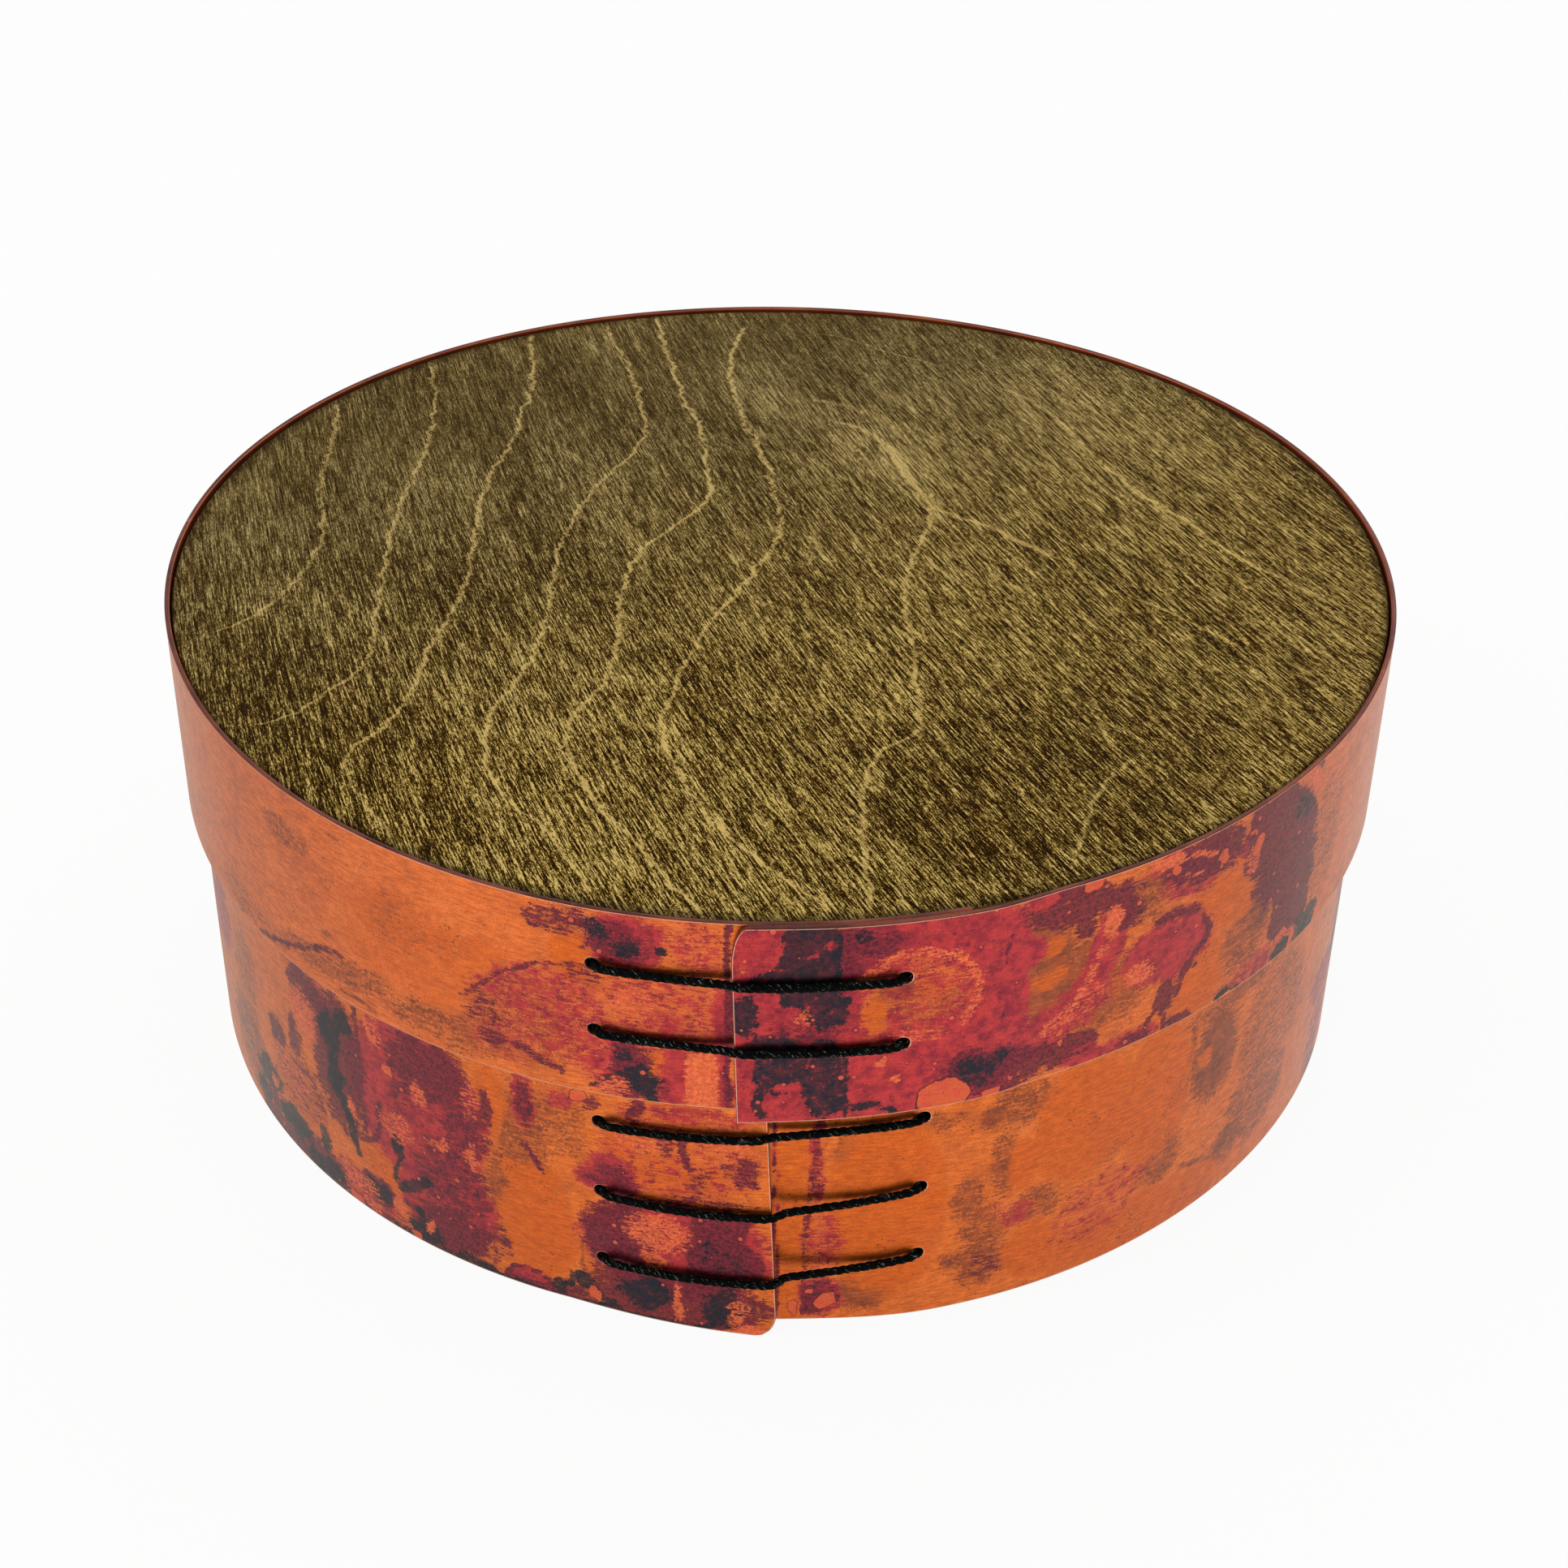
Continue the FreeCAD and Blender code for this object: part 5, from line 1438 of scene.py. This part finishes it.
def roll_tube(name, route, seed):
    """A grid rolled into a twisted thread round the route, closed at both ends."""
    bm = bmesh.new()
    steps = len(route) - 1
    bmesh.ops.create_grid(bm, x_segments=steps, y_segments=THREAD_SIDES, size=0.5)
    thread_map = bm.loops.layers.uv.new("thread")
    for face in bm.faces:
        face.smooth = True
        for loop in face.loops:
            x, y, _ = loop.vert.co
            loop[thread_map].uv = ((x + 0.5) * steps * THREAD_STEP, y + 0.5)
    frames = frames_along(route)
    pick = random.Random(seed)
    uneven = [(pick.uniform(0.1, 0.9), pick.uniform(0.0, TURN)) for _ in range(5)]
    for vert in bm.verts:
        index = round((vert.co.x + 0.5) * steps)
        angle = TURN * (vert.co.y + 0.5)
        along = index * THREAD_STEP
        swell = 1.0 + UNEVEN * sum(math.sin(a * along + b) for a, b in uneven) / len(uneven) - THINNED
        ahead = TWIST_WANDER[0] * math.sin(TWIST_WANDER[1] * along + seed)
        turned = angle + TURN * along / PLY_TURN + ahead
        first, second = frames[index]
        offset = first * math.cos(turned) + second * math.sin(turned)
        spot = route[index] + offset * (SECTION * THREAD * MM * three_lobes(angle) * swell)
        rough = sum(depth * noise_vector(spot * scale).x for depth, scale in FIBRES)
        vert.co = spot + offset * (rough * MM)
    bmesh.ops.remove_doubles(bm, verts=bm.verts, dist=1e-7)
    bmesh.ops.holes_fill(bm, edges=[e for e in bm.edges if e.is_boundary], sides=0)
    bmesh.ops.recalc_face_normals(bm, faces=bm.faces)
    mesh = bpy.data.meshes.new(name)
    bm.to_mesh(mesh)
    bm.free()
    tube = bpy.data.objects.new(name, mesh)
    bpy.context.scene.collection.objects.link(tube)
    return tube


def taut(points):
    """The points that a tight thread still touches, from left to right."""
    kept = []
    for point in points:
        while len(kept) > 1:
            before, last = kept[-2], kept[-1]
            if (last.x - before.x) * (point.y - last.y) - (last.y - before.y) * (point.x - last.x) > 0.0:
                break
            kept.pop()
        kept.append(point)
    return kept


def clinging(points):
    """Points half way between a tight thread and the copper below it, because the wax holds it down."""
    kept = taut(points)
    held = []
    for point in points:
        after = next(i for i in range(1, len(kept)) if kept[i].x > point.x - 1e-9)
        share = (point.x - kept[after - 1].x) / (kept[after].x - kept[after - 1].x)
        across = kept[after - 1].lerp(kept[after], share)
        held.append(Vector((point.x, 0.5 * (point.y + across.y), point.z)))
    return held


print("tube helpers ready")

# %% Thread material
waxed_thread, tree, shader = new_material("thread_wax")
fuzz = noise(tree, object_millimetres(tree), 3.0, 4.0, 0.7)
along = node(tree, "UVMap", uv_map="thread").outputs[0]
# Pale flecks: wax on the thread, and painted glints where its shine would catch the light
wax_fleck_glint = noise(tree, stretched(tree, along, (1.1, 9.0, 1.0)), 1.0, 3.0, 0.7)
wax_fleck_glint = times(tree, ramp(tree, wax_fleck_glint, 0.58, 0.66), ramp(tree, fuzz, 0.40, 0.56))
colour = mixed(tree, ramp(tree, fuzz, 0.35, 0.65), paint(2, 3, 2), paint(10, 13, 11))
colour = washed(tree, colour, wax_fleck_glint, 0.8, paint(134, 156, 142))
hairs = noise(tree, stretched(tree, along, (1.6, 26.0, 1.0)), 1.0, 3.0, 0.7)
set_inputs(tree, shader, {"Base Color": colour, "Roughness": plus(tree, times(tree, fuzz, 0.4), 0.34),
                          "Normal": bumped(tree, hairs, 0.6, 0.08), "Specular IOR Level": 0.035})
print("material:", waxed_thread.name)

# %% Stitches
BEARING = HOLE_RADIUS - 0.5 * THREAD - 0.03    # a tight thread bears on the near side of its holes
SHOULDER = 0.9                    # mm over which it turns down into a hole
STITCH_STEP = 1.6                 # mm from one control point of a stitch to the next, about


def stitch_over(holes, height, outset, inside, sag=0.0):
    """Control points of one stitch from inside the left hole over the copper to inside the right one."""
    start = holes[0] + BEARING
    stop = holes[1] - BEARING
    level = stop - start - 2.0 * SHOULDER
    count = round(level / STITCH_STEP)
    step = level / count
    runs = [start + SHOULDER + step * index for index in range(count + 1)]
    slack = [sag * math.sin(math.pi * (run - start) / (stop - start)) for run in runs]
    over = clinging([place(run, outset(run) + STAND, height(run) - low) for run, low in zip(runs, slack)])
    down = [place(start, inside, height(start)), place(start, outset(start) + 0.4 * STAND, height(start))]
    up = [place(stop, outset(stop) + 0.4 * STAND, height(stop)), place(stop, inside, height(stop))]
    return down + over + up


def strand_inside(run, first, second, inside):
    """Control points of the strand behind the copper, from one row to another."""
    return [place(run, inside, first + (second - first) * share) for share in (0.25, 0.5, 0.75)]


def knot_turns(run, height, inside, moves):
    """Control points of a knot: moves are along, out and up from its hole."""
    return [place(run + along, inside + out, height + up) for along, out, up in moves]


print("stitch helpers ready")

# %% Lid lacing
LID_FLAT = 0.78                   # thread pressed between the two bands
LID_REACH = -SHEET - LOOSE - 0.5 * LID_FLAT


def lid_front(run):
    """Outset of whatever copper is in front at that run."""
    return lid_outer_layer(max(run, LID_SEAM)) if run >= LID_SEAM - STEP_OFF else 0.0


lid_holes_run = (LID_LEFT_HOLES, LID_RIGHT_HOLES)
lid_stitches = [stitch_over(lid_holes_run, lambda run, row=row: row, lid_front, LID_REACH)
                for row in LID_ROWS]
start_knot = knot_turns(LID_LEFT_HOLES, LID_ROWS[0], LID_REACH, (
    (-3.0, 0.0, -2.0), (-1.2, 0.0, -1.2), (1.0, 0.0, -0.8), (1.4, 0.0, 0.9), (-0.4, 0.0, 1.3),
    (-1.2, 0.0, 0.2)))
end_knot = knot_turns(LID_LEFT_HOLES, LID_ROWS[1], LID_REACH, (
    (-1.2, 0.0, 0.3), (-0.6, 0.0, -1.3), (1.2, 0.0, -1.0), (1.2, 0.0, 0.9), (-0.8, 0.0, 1.2),
    (-2.8, 0.0, 2.2)))
route = (start_knot + lid_stitches[0] + strand_inside(LID_RIGHT_HOLES - BEARING, *LID_ROWS, LID_REACH)
         + lid_stitches[1][::-1] + end_knot)
lid_route = even_steps(smooth_route(route), THREAD_STEP * MM)
lid_lacing = roll_tube("lid_lacing_thread", lid_route, 5)
lid_lacing.data.materials.append(waxed_thread)
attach(lid_lacing, "lid")
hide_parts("lid_lacing")
print(lid_lacing.name, round(len(lid_route) * THREAD_STEP), "mm long")

# %% Base lacing
BASE_REACH = -BASE_INSET - SHEET - LAYER - LOOSE - 0.5 * THREAD


def base_front(height):
    """Outset of the copper in front, along one row."""
    end = base_end_run(height)

    def outset(run):
        if run <= end + STEP_OFF:
            return base_outset(ROUND + min(run, end), height)
        return base_inner_layer(run) - BASE_INSET
    return outset


base_holes_run = (BASE_LEFT_HOLES, BASE_RIGHT_HOLES)
low, middle, high = (
    stitch_over(base_holes_run, lambda run, row=row: base_row(row, run), base_front(row), BASE_REACH, sag)
    for row, sag in zip(BASE_ROWS, (0.6, 1.2, 0.4)))
start_knot = knot_turns(BASE_LEFT_HOLES, BASE_ROWS[2], BASE_REACH, (
    (-4.0, -0.6, 3.0), (-1.6, -0.2, 1.4), (1.4, 0.0, -0.6), (0.2, -1.0, -1.5), (-1.4, -1.0, 0.2),
    (0.2, -0.6, 1.4), (1.2, 0.0, 0.6)))
end_knot = knot_turns(BASE_RIGHT_HOLES, base_row(BASE_ROWS[0], BASE_RIGHT_HOLES), BASE_REACH, (
    (1.2, 0.0, 0.6), (0.2, -0.6, 1.4), (-1.4, -1.0, 0.2), (0.2, -1.0, -1.2), (1.4, 0.0, -0.4),
    (-1.2, -0.2, 1.4), (-3.6, -0.6, 3.2)))
right_rows = [base_row(row, BASE_RIGHT_HOLES) for row in BASE_ROWS]
route = (start_knot + high
         + strand_inside(BASE_RIGHT_HOLES - BEARING, right_rows[2], right_rows[1], BASE_REACH) + middle[::-1]
         + strand_inside(BASE_LEFT_HOLES + BEARING, BASE_ROWS[1], BASE_ROWS[0], BASE_REACH) + low + end_knot)
base_route = even_steps(smooth_route(route), THREAD_STEP * MM)
base_lacing = roll_tube("base_lacing_thread", base_route, 9)
base_lacing.data.materials.append(waxed_thread)
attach(base_lacing, "base")
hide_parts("base_lacing")
print(base_lacing.name, round(len(base_route) * THREAD_STEP), "mm long")
